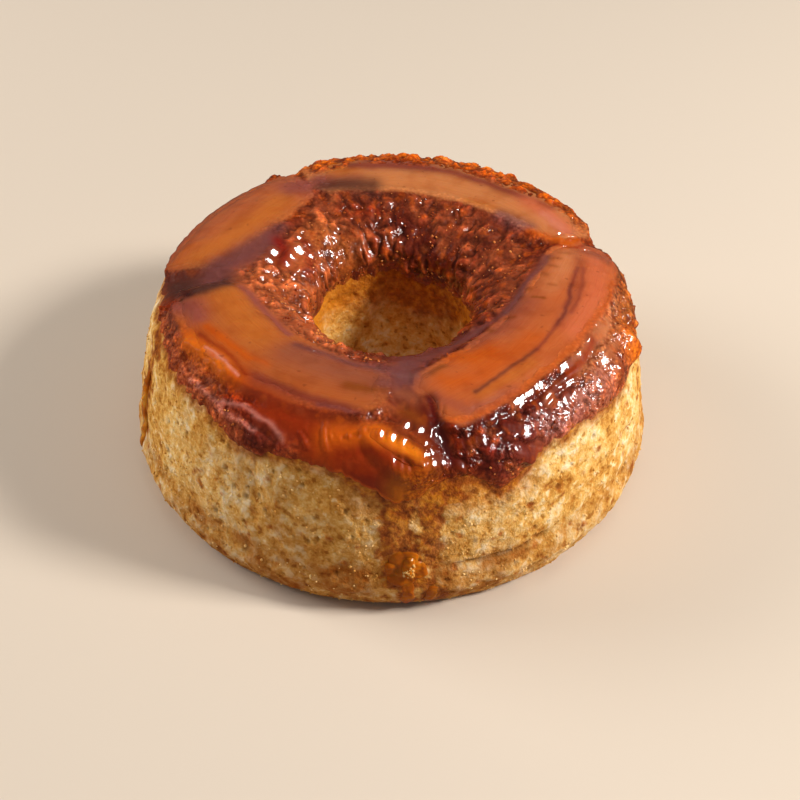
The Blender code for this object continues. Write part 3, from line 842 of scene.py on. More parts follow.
# Each pool: half width, path on the plan
DARK_POOLS = [
    (7.0, [(-80, 0), (-68, -2), (-60, 0)]),
    (4.5, [(-62, 3), (-56, 9), (-50, 16), (-45, 24)]),
    (7.0, [(5, -55), (5, -44), (6, -30)]),
    (4.0, [(12, -38), (20, -31), (28, -25)]),
    (2.2, [(28, -25), (36, -20), (43, -12), (48, -1), (56, 15)]),
    (2.0, [(-53, -5), (-44, -18.5), (-35, -30), (-22, -41), (-7, -48)]),
]
RED_GLASS = [
    (4.6, [(-66, -29), (-58, -39), (-47, -52), (-34, -64)]),
    (6.0, [(-38, -66), (-24, -73), (-10, -77), (2, -79)]),
    (5.0, [(-24, -81), (-12, -85), (0, -87)]),
    (3.6, [(-42, 14), (-36, 20)]),
    (6.0, [(4, -66), (10, -70), (14, -76)]),
    (3.0, [(58, 26), (66, 25)]),
    (2.0, [(72, -22), (65, -35), (58, -48), (50, -58)]),
    (2.6, [(-67, -32), (-61, -39), (-55, -46), (-51, -51)]),
]


def pool_mask(plan, pools):
    """1 inside the pools, easing to 0 just outside them."""
    return np.max([smooth(1.5 - gap_to_path(plan, path) / half) for half, path in pools], axis=0)


# %% [markdown]
# The caramel wrinkled where the fruit slid in the tin, and it ran together in small lumps.
# The long wrinkles are drawn as ridges on the plan, like the strokes of colour, and stand on
# the slices as well as on the caramel. The lumps come further on: they are noise folded at
# zero, which gives round tops with creases between them, as on a blackberry.

# %% Ridges and creases
# Each ridge: half width, rise or depth, path on the plan
RIDGES = [
    (2.4, 1.5, [(-68, -33), (-61, -39.5), (-55, -46), (-51, -51)]),
    (1.5, 1.3, [(-56, -58), (-49, -61), (-43, -65.5), (-37, -71), (-34, -73)]),
    (0.8, 0.8, [(-58, -54), (-51, -59), (-46, -62)]),
    (0.8, -0.7, [(-55, -60), (-46, -66), (-38, -73)]),
    (0.8, 0.8, [(-62, -52), (-56, -59), (-48, -66), (-42, -72)]),
    (0.7, 0.7, [(-70, -38), (-66, -46), (-60, -53)]),
    (0.9, 0.8, [(-20.5, -71), (-20, -75), (-20, -79)]),
    (0.8, 0.7, [(-27, -73), (-26, -77)]),
    (1.6, -1.8, [(13, -64), (14, -70), (16, -76), (19, -81)]),
    (1.0, -1.0, [(0, -61), (1, -64), (4.5, -66.5)]),
    (1.0, 0.9, [(19.5, -73), (21, -76.5)]),
    (0.8, 0.9, [(73, -20), (70, -25), (67, -29), (65, -35), (62, -41), (60, -47)]),
    (0.8, 0.9, [(60, -47), (56, -50), (52, -55), (47, -61), (43, -64.5)]),
    (0.9, -0.7, [(69, -31), (64, -41), (59, -49), (50, -60)]),
    (0.8, 0.7, [(78, 15), (77, 8), (76, 0), (74.6, -8), (71.5, -16), (68.5, -24)]),
    (0.9, 0.8, [(68.5, -24), (65, -31), (61.5, -38), (57, -43), (51.5, -49), (47, -55)]),
    (0.9, 0.8, [(47, -55), (41.5, -60), (36.5, -66), (30, -69.5), (23, -72.5), (18, -73.5)]),
    (0.9, 0.8, [(33, -72), (39, -69.5), (43, -68)]),
    (0.9, 0.8, [(26, -76), (32, -74.5), (37, -75)]),
    (1.2, 1.2, [(60, 27), (60.5, 25)]),
    (1.6, 1.6, [(63.5, 26), (66.5, 26)]),
    (1.6, 1.4, [(-45.5, 14), (-43.5, 15)]),
    (1.7, 1.5, [(-38, 15), (-36, 20), (-34.5, 24)]),
    (1.0, 0.9, [(-36, 27), (-34, 31)]),
    (1.8, -1.0, [(-40.5, 12), (-41, 22)]),
]


def ridges(plan):
    return sum(rise * bell(gap_to_path(plan, path), half) for half, rise, path in RIDGES)


# %% [markdown]
# A clear coat flashes only where it tilts halfway between the lamp and the eye, and noise
# seldom does that in one chosen place. So the strongest flashes are made as small facets.
# Inside a round window, each facet adds just the slope that the surface there still lacks.

# %% Facets that mirror the lamp
KEY_PLACE = Vector((1.14, -0.20, 0.92))
# Each row of facets: half width, path on the plan
FACETS = [
    (1.9, [(1.0, -76.8)]),
    (1.7, [(-2.6, -76.0)]),
    (2.0, [(5.2, -73.0)]),
    (1.8, [(9.6, -74.2)]),
    (1.1, [(11.3, -77.8)]),
    (1.9, [(4.6, -78.2)]),
    (1.2, [(6.2, -79.2), (8.4, -80.2), (11, -81.1)]),
    (1.1, [(11.6, -80.8), (13.1, -80.4), (15.4, -80)]),
    (1.1, [(10.5, -82.8), (13, -82.1), (15.8, -81.1)]),
    (1.8, [(1.8, -82.8), (4, -83.2)]),
    (1.2, [(5.8, -83.4)]),
    (1.2, [(-7.8, -74.4)]),
    (1.1, [(-10.4, -75.4), (-12.4, -75.5)]),
    (0.9, [(-15.4, -75.8)]),
    (0.9, [(-18.4, -75)]),
    (1.0, [(-1.4, -70.4)]),
    (0.9, [(-2.4, -67.6)]),
    (1.0, [(16.2, -65.4), (15.8, -68.4)]),
    (0.9, [(15.4, -70.9), (14.3, -73.6), (14.5, -76.4)]),
    (0.9, [(12.4, -66), (12.6, -69)]),
    (1.6, [(23, -76.4), (25.9, -75.2), (29.2, -75.1)]),
    (1.2, [(16.6, -81.4)]),
    (1.3, [(20.2, -81.1), (22.9, -81.2)]),
    (1.1, [(21, -72), (23.2, -71.3), (26.6, -70.1), (29.1, -68.6)]),
    (1.5, [(39.5, -62), (43.6, -58.4), (48, -54)]),
    (1.1, [(55, -46.4), (58.6, -42.8), (62, -38.4)]),
    (1.0, [(47, -61), (50.4, -57), (54, -52), (57.6, -48), (60.6, -45), (63, -40)]),
    (1.0, [(63, -40), (66, -34), (68.6, -29), (71, -24), (73.4, -18.6)]),
    (1.5, [(36, -69.6), (39.4, -69.4), (42.4, -69)]),
    (1.5, [(40, -74), (44, -73), (48, -71)]),
    (1.4, [(56.6, -56), (59.6, -54), (62.4, -51.6)]),
    (1.1, [(77.6, 15.4), (76, 6), (74, -3.2), (71.6, -13)]),
    (1.2, [(70, -38), (73, -32), (76.4, -26)]),
    (2.9, [(-44.4, 13), (-43.6, 17)]),
    (2.9, [(-38.6, 13), (-37.4, 16.4), (-35.6, 20.4)]),
    (2.0, [(-35, 26.6)]),
    (1.4, [(-31, 20.4)]),
    (1.0, [(-61, -37.3), (-56.8, -42), (-52.5, -47.3), (-49.5, -51)]),
    (0.7, [(-53.7, -58.6), (-47.3, -61.7), (-42.5, -65.4), (-37.4, -69.7)]),
    (1.0, [(-28, -73), (-26.4, -75.4)]),
    (1.0, [(-20.4, -73), (-20, -76.4)]),
    (0.9, [(-80, -8.4), (-76.6, -9.6), (-73, -10.4)]),
    (1.3, [(60.8, 29.3)]),
    (1.3, [(62.8, 27.3), (65.9, 27.6)]),
]


def spaced(path, gap):
    """Points along a path, about one gap apart."""
    path = np.array(path, float)
    walk = np.concatenate([[0.0], np.cumsum(np.hypot(*np.diff(path, axis=0).T))])
    stops = np.linspace(0.0, walk[-1], max(1, round(walk[-1] / gap)) + (len(path) > 1))
    return np.column_stack([np.interp(stops, walk, path[:, i]) for i in (0, 1)])


def mirror_slope(x, y, level):
    """Slope on the plan with which a layer of one thickness mirrors the lamp to the eye."""
    radius = math.hypot(x, y)
    length = top_length(radius)
    out, up = (np.interp(length, lengths, v) for v in normals.T)
    before, after = (
        [np.interp(length + step, lengths, v) for v in normals.T] for step in (-1, 1)
    )
    bend = 0.5 * (out * (after[1] - before[1]) - up * (after[0] - before[0]))
    outward = Vector((x / radius, y / radius, 0))
    around = Vector((-y / radius, x / radius, 0))
    face = outward * out + Vector((0, 0, up))
    inward = outward * -up + Vector((0, 0, out))
    spot = Vector(on_cake(length, level, math.degrees(math.atan2(y, x)))[0]) * MM
    aim = (KEY_PLACE - spot).normalized() + (CAMERA_PLACE - spot).normalized()
    radial = aim.dot(inward) / aim.dot(face) * (1 + bend * level) / up
    sideways = -aim.dot(around) / aim.dot(face) * (1 + out * level / radius)
    return np.array(outward.xy) * radial + np.array(around.xy) * sideways


def tilt_facets(plan, rise):
    """The same surface with each facet levelled and tilted, and how far inside one it is."""
    rise, inside = rise.copy(), np.zeros(len(plan))
    for half, path in FACETS:
        for x, y in spaced(path, 1.2 * half):
            away = plan - (x, y)
            gap = np.hypot(*away.T)
            near = np.flatnonzero(gap < 1.6 * half)
            if len(near) < 4:
                continue
            window = np.exp(-((gap[near] / half) ** 4))
            level = np.sum(window * rise[near]) / np.sum(window)
            tilted = level + away[near] @ mirror_slope(x, y, level)
            rise[near] += window * (tilted - rise[near])
            inside[near] = np.maximum(inside[near], window)
    return rise, inside


print("ridges:", len(RIDGES), "rows of facets:", len(FACETS))

# %% [markdown]
# On the real cake the caramel boiled up into lumps, crept down the hole in streaks and closed
# over the edges of the fruit. It could be sculpted by hand, but then it would part from the
# slices whenever one of them moved. So one function gives its thickness at any place, and it
# asks the slices, the pools, the ridges and the facets in turn.

# %% Lumps, streaks and thickness
NUGGET_SIZE, HOLE_NUGGET_SIZE, HEAP_NUGGET_SIZE = 4.2, 4.6, 5.5
# Where caramel lies over the fruit: half width, extra reach, path on the plan
LAPS = [
    (8.0, 9.0, [(-30, 64), (-12, 70), (6, 71), (24, 67), (42, 57), (48, 52)]),
    (6.0, 6.0, [(48, 58), (58, 49), (66, 40)]),
    (5.0, 3.0, [(-28, 77), (-8, 80), (6, 79)]),
    (6.0, 5.0, [(-50, -58), (-36, -67), (-20, -74), (-4, -78)]),
    (4.0, 4.0, [(-80, -12), (-76, -26), (-68, -42), (-58, -54)]),
    (6.0, 6.0, [(0, -58), (3, -66)]),
    (2.2, 3.0, [(-13, -78), (-8, -78.6)]),
]


def rim_band(radius, angle):
    """1 on the heaped amber rim behind the back slice, easing to 0 around it."""
    angle = turn(angle)
    ends = smooth((angle - 22) / 10) * smooth((119 - angle) / 5)
    inner_border = 67.0 + 7.0 * smooth((52 - angle) / 22)
    return smooth((radius - inner_border) / 3.0) * smooth((85 - radius) / 3.0) * ends


def nuggets(points, size, seed):
    """Round lumps with creases between them, from about -0.4 to 0.8."""
    return abs(lumps(points, size, seed)) + 0.5 * abs(lumps(points, size / 2, seed + 1)) - 0.4


def funnel_streaks(length, angle):
    """Noise drawn out down the slope of the hole, where the warm caramel crept."""
    a = np.radians(angle)
    points = np.column_stack([40 * np.cos(a), 40 * np.sin(a), length * 0.45])
    return rough(points, 3.2, 2, 71)


def caramel_thickness(length, angle):
    """The caramel's thickness in mm, how glassy it is, its lumps, and how far its edges are."""
    edge = side_length(skirt_height(angle))
    hole_edge = hole_length(hole_edge_height(angle))
    flat = on_cake(length, 0.0, angle)
    plan = warped_plan(flat, 0.4)
    radius = polar(flat)[0]
    outer = length < CREST_LENGTH
    depth = np.where(outer, (length - edge) / SKIRT_REACH, (hole_edge - length) / HOLE_REACH)
    dark = pool_mask(plan, DARK_POOLS)
    glassy = np.clip(dark + pool_mask(plan, RED_GLASS), 0, 1)
    # Thin at both edges, full on top, with named hollows and lumps
    thick = CARAMEL_EDGE + (CARAMEL_TOP - CARAMEL_EDGE) * (1 - np.exp(-np.maximum(depth, 0)))
    thick += CRAG_RELIEF * rough(flat, CRAG_SIZE, 2, 21) * smooth(depth) * (1 - 0.7 * glassy)
    for a, r, size, rise in CARAMEL_SPOTS:
        if rise > 0:
            r, rise = r - TEETH_INWARD, rise * TEETH_GROWTH
        x, y = r * math.cos(math.radians(a)), r * math.sin(math.radians(a))
        thick += rise * bell(np.hypot(flat[:, 0] - x, flat[:, 1] - y), size)
    blob = on_cake(side_length(BLOB_HEIGHT), 0.0, BLOB_ANGLE)[0]
    thick += np.where(outer, BLOB_RISE * bell(np.linalg.norm(flat - blob, axis=1), BLOB_RADIUS), 0)
    # Lumps and creases, calmer in some places, flat in the pools and heaped on the rim
    bent = flat + 0.9 * np.column_stack([lumps(flat, 5.0, seed) for seed in (81, 82, 83)])
    calm = 0.5 + 0.7 * smooth(0.5 + 1.6 * lumps(flat, 11.0, 35))
    crags = 1.5 * nuggets(bent, HOLE_NUGGET_SIZE, 24)
    crags = np.where(outer, 1.25 * nuggets(bent, NUGGET_SIZE, 24), crags)
    crags += np.where(outer, 0.0, 0.3 * funnel_streaks(length, angle))
    crags = crags * calm * (1 - 0.85 * glassy)
    band = rim_band(radius + 1.2 * lumps(flat, 6.0, 47), angle)
    heap = band * smooth((82 - radius) / 5.0)
    crags += 1.7 * heap * nuggets(bent, HEAP_NUGGET_SIZE, 46)
    thick += crags * smooth(depth * 2) + 1.2 * heap
    thick -= 0.5 * dark
    # Level with each slice around it, lapping over its edge, and only a film underneath it
    over = sum(extra * bell(gap_to_path(plan, path), half) for half, extra, path in LAPS)
    on_fruit = np.zeros(len(flat))
    for shape in SLICES.values():
        half_width, level = shape[4:6]
        inward = slice_depth(flat[:, :2], shape)
        lap = min(2.6, 0.35 * half_width) * (1 + 0.5 * lumps(flat, 5.0, 34)) + over
        flush = level - 0.15 + 0.15 * crags + 0.15 * lumps(flat, 4.0, 33)
        flush += band * (0.6 + crags) + 0.3 * smooth(over / 3.0)
        thick += (flush - thick) * smooth(1 + inward / 4.0) * (1 - 0.3 * dark)
        thick += (1.0 - thick) * smooth((inward - lap) / 2.5)
        on_fruit = np.maximum(on_fruit, smooth((inward + 1.2) / 1.8) * (1 - band))
    # Wrinkles, then the facets, which need everything else in place
    thick += ridges(plan) * (0.75 + 0.5 * lumps(flat, 3.0, 91)) * smooth(depth * 2)
    thick, in_facet = tilt_facets(flat[:, :2], thick)
    glassy = np.maximum(np.maximum(glassy, in_facet), 0.8 * on_fruit)
    crags = crags * (1 - in_facet) * (1 - 0.8 * on_fruit)
    return np.maximum(thick, 0.6), glassy, crags, np.minimum(length - edge, hole_edge - length)


# %% Caramel sheet
CRUST_CUTS = 11
UNDERSIDE, SUNK = -0.9, -0.4
# Shares of the way from the skirt's edge to the edge in the hole, and rows in each part
SKIRT_SHARE, FUNNEL_SHARE = 0.36, 0.54
SKIRT_ROWS, COVERED_ROWS, FUNNEL_ROWS, UNDER_ROWS = 62, 14, 54, 6
TONGUE_ANGLE = -93
steps = np.concatenate([
    np.linspace(0, SKIRT_SHARE, SKIRT_ROWS, endpoint=False),
    np.linspace(SKIRT_SHARE, FUNNEL_SHARE, COVERED_ROWS, endpoint=False),
    np.linspace(FUNNEL_SHARE, 1.0, FUNNEL_ROWS),
    np.linspace(1.0, 0.0, UNDER_ROWS + 2)[1:-1],
])
mesh, rows, angles = spun_ring("caramel_sheet", len(steps), CRUST_CUTS)
edge = side_length(skirt_height(angles))
length = edge + (hole_length(hole_edge_height(angles)) - edge) * steps[rows]
under = rows >= len(steps) - UNDER_ROWS
outer = length < CREST_LENGTH
flat = on_cake(length, 0.0, angles)
radius = polar(flat)[0]
thick, glassy, crags, to_edge = caramel_thickness(length, angles)
tongue = arc(angles, TONGUE_ANGLE, 11, 3) * outer
rounded = np.sqrt(1 - (1 - np.clip(to_edge / (3.2 - 2.0 * tongue), 0, 1)) ** 2)
rounded = np.where(outer, rounded, smooth(to_edge / 9.0))
meniscus = bell(to_edge - 0.9, 0.5) * tongue * smooth((-86 - turn(angles)) / 3)
offset = np.where(under, UNDERSIDE, SUNK + (thick + 0.3 * meniscus) * rounded)
set_places(mesh, on_cake(length, offset, angles))

# %% [markdown]
# The sheet's colour starts from a granular rust. It is darker in the creases, where the syrup
# is thick, and partly as painted shade, and brighter on the tops of the lumps, partly as
# painted light. Then come the pools and the red glass.

# %% Caramel colours
color = top_color(flat, warped_plan(flat, 0.4), crags=crags)
right_of_tongue = tongue * smooth((turn(angles) + 94) / 6) * smooth((60 - flat[:, 2]) / 6)
color = brush(color, "syrup", 0.8 * right_of_tongue)
thin = bell(to_edge, 3.0) * (1 - tongue)
color = brush(color, "amber", 0.35 * thin * outer)
# Painted light: amber-orange at the hole's edge on the left, where the lamp shines in
left = bell(turn(angles - 175), 60)
color = brush(color, "tangerine", 0.8 * bell(to_edge, 5.0) * left * ~outer)
color = brush(color, "umber", bell(np.maximum(to_edge - 2.5, 0), 4.0) * (1 - left) * ~outer)
color = brush(color, "tangerine", 0.8 * meniscus)
add_colors(mesh, "tint", color)
funnel = smooth((56 - radius) / 4)
add_values(mesh, "gloss", np.maximum(glassy, 0.5 * funnel))
caramel_sheet = new_piece(mesh)

# %% [markdown]
# A banana slice is a long, bent slab that drapes over the ring, with rounded edges. A cube is
# cut into a grid, its corners are drawn in, and each point is carried to its place along a
# bent centreline. The two numbers that say where a point lies along and across the slice also
# become its UV map, so that the fibres of the fruit can follow the bend.

# %% Banana slices
SLICE_ROUNDING = 5.0
GAP = 0.4


def cut_block(cuts):
    """A cube from -1 to 1 with each of its edges cut, so that its faces are grids."""
    bm = bmesh.new()
    bmesh.ops.create_cube(bm, size=2.0)
    for axis, count in enumerate(cuts):
        edges = [e for e in bm.edges if abs(e.verts[0].co[axis] - e.verts[1].co[axis]) > 1.9]
        bmesh.ops.subdivide_edges(bm, edges=edges, cuts=count, use_grid_fill=True)
    return bm


def slice_places(shape, u, v, offset):
    (centre_x, centre_y), bend, first, last, half_width, _, narrow_a, narrow_b = shape
    a = np.radians(first + (last - first) * (u + 1) / 2)
    across = v * half_width * end_factor(u, narrow_a, narrow_b)
    x = centre_x + (bend + across) * np.cos(a)
    y = centre_y + (bend + across) * np.sin(a)
    return on_cake(top_length(np.hypot(x, y)), offset, np.degrees(np.arctan2(y, x)))


def make_slice(name, shape):
    bend, first, last, half_width, level = shape[1:6]
    arc_length = bend * math.radians(abs(first - last))
    step = 0.6 if half_width > 6 else 0.35
    bm = cut_block((int(arc_length / step), int(half_width * 2 / step), 6))
    uv_layer = bm.loops.layers.uv.new("UVMap")
    for face in bm.faces:
        for corner in face.loops:
            corner[uv_layer].uv = (corner.vert.co.x / 2 + 0.5, corner.vert.co.y / 2 + 0.5)
    u, v, w = np.array([vertex.co for vertex in bm.verts]).T
    mesh = mesh_from(bm, name + "_glazed")
    reach = np.maximum(np.abs(v), np.abs(w))
    power = np.abs(v) ** SLICE_ROUNDING + np.abs(w) ** SLICE_ROUNDING
    pull = np.where(reach > 0, reach * np.maximum(power, 1e-9) ** (-1 / SLICE_ROUNDING), 1.0)
    thin = 1 - 0.35 * smooth((np.abs(u) - 0.8) / 0.2)
    offset = GAP + (level - GAP) * (0.5 + 0.5 * w * pull * thin)
    points = slice_places(shape, u, v * pull, offset)
    ragged = 1 + 0.05 * lumps(points, 5.0, 61) + 0.035 * lumps(points, 2.0, 62)
    top = smooth((w + 0.2) / 1.0)
    offset -= top * 0.5 * smooth((np.abs(v) - 0.6) / 0.4)
    offset -= top * 0.5 * smooth((np.abs(u) - 0.88) / 0.12)
    offset += top * (0.3 * rough(points, 9.0, 2, 63) + 0.06 * lumps(points, 2.4, 64))
    under_it = slice_places(shape, u, v * pull * ragged, 0.0)
    offset += top * ridges(under_it[:, :2])
    lid = np.flatnonzero(top > 0.9)
    offset[lid] = tilt_facets(under_it[lid, :2], offset[lid])[0]
    set_places(mesh, slice_places(shape, u, v * pull * ragged, offset))
    add_colors(mesh, "tint", top_color(under_it, warped_plan(under_it, 0.4), name))
    return new_piece(mesh)


slices = {name: make_slice(name, shape) for name, shape in SLICES.items()}

# %% [markdown]
# Where the syrup ran down the crumb it set in drips. A drip is a cube again, cut along its
# length and bent along a path on the cake's surface, thinner towards its ends, swollen and
# pinched by noise, and sunk at its borders so that the crumb breaks its outline. All drips
# are joined in one mesh.

# %% Drips of caramel
BEAD_CUTS = (40, 12, 3)


def make_bead(angle, length, half_width, rise):
    """A raised bead along a path of angles and lengths on the profile."""
    bm = cut_block(BEAD_CUTS)
    u, v, w = np.array([vertex.co for vertex in bm.verts]).T
    mesh = mesh_from(bm, "bead")
    reach = np.maximum(np.hypot(v, w), 1e-6)
    pull = np.maximum(np.abs(v), np.abs(w)) / reach
    stops = np.linspace(-1, 1, len(angle))
    along_angle, along_length = np.interp(u, stops, angle), np.interp(u, stops, length)
    ring = np.interp(along_length, lengths, profile[:, 0]) * math.pi / 180
    taper = np.sqrt(1 - np.minimum(np.abs(u), 0.995) ** 4)
    middle = on_cake(along_length, 0.0, along_angle)
    width = half_width * taper * (1 + 0.3 * lumps(middle, 5.0, 92))
    along_angle = along_angle + v * pull * width / ring
    swell = 1 + 0.6 * rough(on_cake(along_length, 0.0, along_angle), 3.0, 2, 93)
    offset = -0.5 + (w * pull) * taper * np.where(w > 0, (rise + 0.5) * swell, 0.6)
    set_places(mesh, on_cake(along_length, offset, along_angle))
    return mesh


def joined(name, meshes):
    bm = bmesh.new()
    for mesh in meshes:
        bm.from_mesh(mesh)
        bpy.data.meshes.remove(mesh)
    bmesh.ops.recalc_face_normals(bm, faces=bm.faces[:])
    return new_piece(mesh_from(bm, name))


# Each drip: angle, top, foot, half width, rise
DRIPS = [
    (-87.4, 29, 14, 5.4, 0.6),
    (-86.0, 26.5, 18, 2.6, 2.4),
    (-84.6, 24, 17, 3.4, 0.9),
    (-89.6, 24, 18, 2.6, 0.8),
    (-86.4, 17, 2, 2.6, 0.4),
    (-81.4, 15, 2, 2.2, 0.3),
    (-165.0, 46, 10, 2.2, 0.9),
    (60.0, 56, 30, 2.2, 1.3),
    (118.0, 56, 38, 2.0, 1.1),
]
drips = []
for angle, top, foot, half_width, rise in DRIPS:
    heights = np.linspace(top, foot, 9)
    sway = angle + 0.7 * wander(heights * 3.0, 1.5, angle)
    drips.append(make_bead(sway, side_length(heights), half_width, rise))
drips = joined("caramel_drips", drips)

# %% [markdown]
# Materials are built from a few node helpers. Their patterns read Object coordinates, which
# are metres here, so a scale of 1000 makes features of about a millimetre.

# %% Node helpers
def set_inputs(node, **inputs):
    """Gives each named input of a node its value or its link. An underscore is a space."""
    for name, value in inputs.items():
        socket = node.inputs[int(name[1:]) if name[1:].isdigit() else name.replace("_", " ")]
        if isinstance(value, bpy.types.NodeSocket):
            node.id_data.links.new(value, socket)
        else:
            socket.default_value = value


def add_node(tree, kind, settings=(), **inputs):
    """A new node, with its settings and with values or links for its inputs."""
    made = tree.nodes.new(kind)
    for name, value in dict(settings).items():
        setattr(made, name, value)
    set_inputs(made, **inputs)
    return made


def attribute(tree, name, output="Fac"):
    return add_node(tree, "ShaderNodeAttribute", {"attribute_name": name}).outputs[output]


def noise_value(tree, place, scale, detail=2.0, roughness=0.5):
    made = add_node(
        tree, "ShaderNodeTexNoise", Vector=place, Scale=scale, Detail=detail, Roughness=roughness
    )
    return made.outputs["Fac"]


def math_value(tree, operation, a, b):
    return add_node(tree, "ShaderNodeMath", {"operation": operation}, _0=a, _1=b).outputs[0]


def times(tree, a, b):
    return math_value(tree, "MULTIPLY", a, b)


def remap(tree, value, low, high, new_low=0.0, new_high=1.0):
    made = add_node(
        tree, "ShaderNodeMapRange", {"clamp": True}, Value=value, From_Min=low, From_Max=high,
        To_Min=new_low, To_Max=new_high,
    )
    return made.outputs[0]


def mix_color(tree, factor, a, b, blend="MIX"):
    settings = {"data_type": "RGBA", "blend_type": blend, "clamp_result": True}
    return add_node(tree, "ShaderNodeMix", settings, _0=factor, _6=a, _7=b).outputs[2]


def rgb(red, green, blue):
    return (*linear((red, green, blue)), 1.0)


def ramp(tree, value, stops):
    """Colours that follow a value, from stops of (position, colour)."""
    made = add_node(tree, "ShaderNodeValToRGB", Fac=value)
    elements = made.color_ramp.elements
    for _ in stops[2:]:
        elements.new(0.5)
    for element, (position, color) in zip(elements, stops):
        element.position = position
        element.color = rgb(*color)
    return made.outputs["Color"]


def start_material(name):
    material = bpy.data.materials.new(name)
    material.use_nodes = True
    tree = material.node_tree
    shader = tree.nodes["Principled BSDF"]
    place = tree.nodes.new("ShaderNodeTexCoord").outputs["Object"]
    print("material:", name)
    return material, tree, shader, place


def bump(tree, height, distance):
    made = add_node(tree, "ShaderNodeBump", Height=height, Distance=distance, Strength=1.0)
    return made.outputs["Normal"]


# %% [markdown]
# Crumb, caramel and sugar are all granular, so they share one pattern, kept in a node group:
# rounded cells broken up by two sizes of noise give the grains, and a wide noise gives the
# clouds they gather in. Its size is a socket, because crumb is coarser than sugar.

# %% Node group: granules
granules = bpy.data.node_groups.new("granules", "ShaderNodeTree")
for name, side, kind in (
    ("Place", "INPUT", "Vector"),
    ("Per metre", "INPUT", "Float"),
    ("Grains", "OUTPUT", "Float"),
    ("Blotches", "OUTPUT", "Float"),
    ("Clouds", "OUTPUT", "Float"),
):
    granules.interface.new_socket(name, in_out=side, socket_type="NodeSocket" + kind)
entry = granules.nodes.new("NodeGroupInput")
place, per_metre = entry.outputs["Place"], entry.outputs["Per metre"]


def wider_noise(share, detail, roughness):
    """Noise at a share of the group's own scale."""
    return noise_value(granules, place, times(granules, per_metre, share), detail, roughness)


fine = noise_value(granules, place, per_metre, 2.0, 0.6)
mixed = math_value(granules, "ADD", times(granules, fine, 1.6), wider_noise(0.45, 2.0, 0.55))
cells = add_node(granules, "ShaderNodeTexVoronoi", Vector=place, Scale=per_metre)
mixed = math_value(granules, "SUBTRACT", mixed, cells.outputs["Distance"])
add_node(
    granules, "NodeGroupOutput", Grains=remap(granules, mixed, 0.4, 1.3),
    Blotches=remap(granules, wider_noise(0.33, 3.0, 0.55), 0.3, 0.7),
    Clouds=remap(granules, wider_noise(0.13, 2.0, 0.5), 0.3, 0.7),
)


def granular(tree, place, per_metre):
    """The outputs Grains, Blotches and Clouds of the group at its own size."""
    settings = {"node_tree": granules}
    return add_node(tree, "ShaderNodeGroup", settings, Place=place, Per_metre=per_metre).outputs


# %% [markdown]
# The crumb's colour follows its grains: brown in the gaps, golden on their sides and the pale
# yellow of flour on their tops. Clouds make some places browner and others pale. Where syrup
# soaked in, the same grain shows through amber. Pores and the crack are painted darker as
# shade, the front is painted darker as shade, and in the hole the crumb is painted lighter
# where the lamps shine in.

# %% Crumb material
crumb_material, tree, shader, place = start_material("baked crumb")
grains, blotches, clouds = granular(tree, place, 1000.0)
zones = remap(tree, noise_value(tree, place, 45, 1.0, 0.5), 0.35, 0.65)
mottled = times(tree, grains, 0.17)
for pattern, weight in ((blotches, 0.33), (clouds, 0.28), (zones, 0.22)):
    mottled = math_value(tree, "ADD", mottled, times(tree, pattern, weight))
sponge = ramp(tree, mottled, [
    (0.16, (174, 108, 34)), (0.36, (212, 154, 72)), (0.5, (228, 178, 100)),
    (0.66, (238, 202, 138)), (0.84, (246, 224, 184)),
])
speck = noise_value(tree, place, 330, 1.0, 0.5)
sponge = mix_color(tree, remap(tree, speck, 0.66, 0.74, 0, 0.6), sponge, rgb(250, 228, 186))
sponge = mix_color(tree, remap(tree, speck, 0.34, 0.27, 0, 0.6), sponge, rgb(150, 88, 26))
patchy = remap(tree, noise_value(tree, place, 90, 2.0, 0.5), 0.4, 0.65, 0.4, 1.0)
floury = times(tree, remap(tree, clouds, 0.5, 0.85), remap(tree, blotches, 0.45, 0.75))
sponge = mix_color(tree, times(tree, floury, 0.4), sponge, rgb(240, 220, 188))
# Browning, with painted shade on the lip and over the front, darkens the crumb
toast_and_front_shade = times(tree, attribute(tree, "toast_and_front_shade"), patchy)
sponge = mix_color(tree, toast_and_front_shade, sponge, rgb(176, 128, 78), "MULTIPLY")
# Painted shade in the pores and the crack
sponge = mix_color(tree, times(tree, attribute(tree, "pore_shade"), 0.6), sponge, rgb(92, 50, 12))
# Painted light: in the hole the crumb is lighter, and soaked crumb glows amber, where the lamps shine in
inside = attribute(tree, "inside")
sponge = mix_color(tree, times(tree, inside, 0.35), sponge, rgb(206, 146, 62))
wet = attribute(tree, "wet")
soaked = ramp(tree, blotches, [(0.1, (116, 44, 0)), (0.5, (160, 76, 0)), (0.9, (200, 120, 0))])
soaked = mix_color(tree, inside, soaked, rgb(226, 138, 26))
sponge_height = math_value(tree, "ADD", times(tree, grains, 0.25), blotches)
set_inputs(
    shader, Base_Color=mix_color(tree, times(tree, wet, 0.92), sponge, soaked),
    Roughness=remap(tree, wet, 0, 1, 0.9, 0.5), Specular_IOR_Level=0.15,
    Coat_Weight=remap(tree, wet, 0.4, 1, 0.0, 0.3), Coat_Roughness=0.2,
    Subsurface_Weight=0.15, Subsurface_Radius=(1.0, 0.5, 0.2), Subsurface_Scale=0.0012,
    Normal=bump(tree, sponge_height, 0.00045),
)
crumb.data.materials.append(crumb_material)

# %% [markdown]
# The set caramel takes its colour from the painted tint, broken up by the grain where it is
# not glassy. The caramel itself barely shines. A clear, sharp coat over it does, so that the
# dark places stay deep and clear and each lump and wrinkle catches one small light.

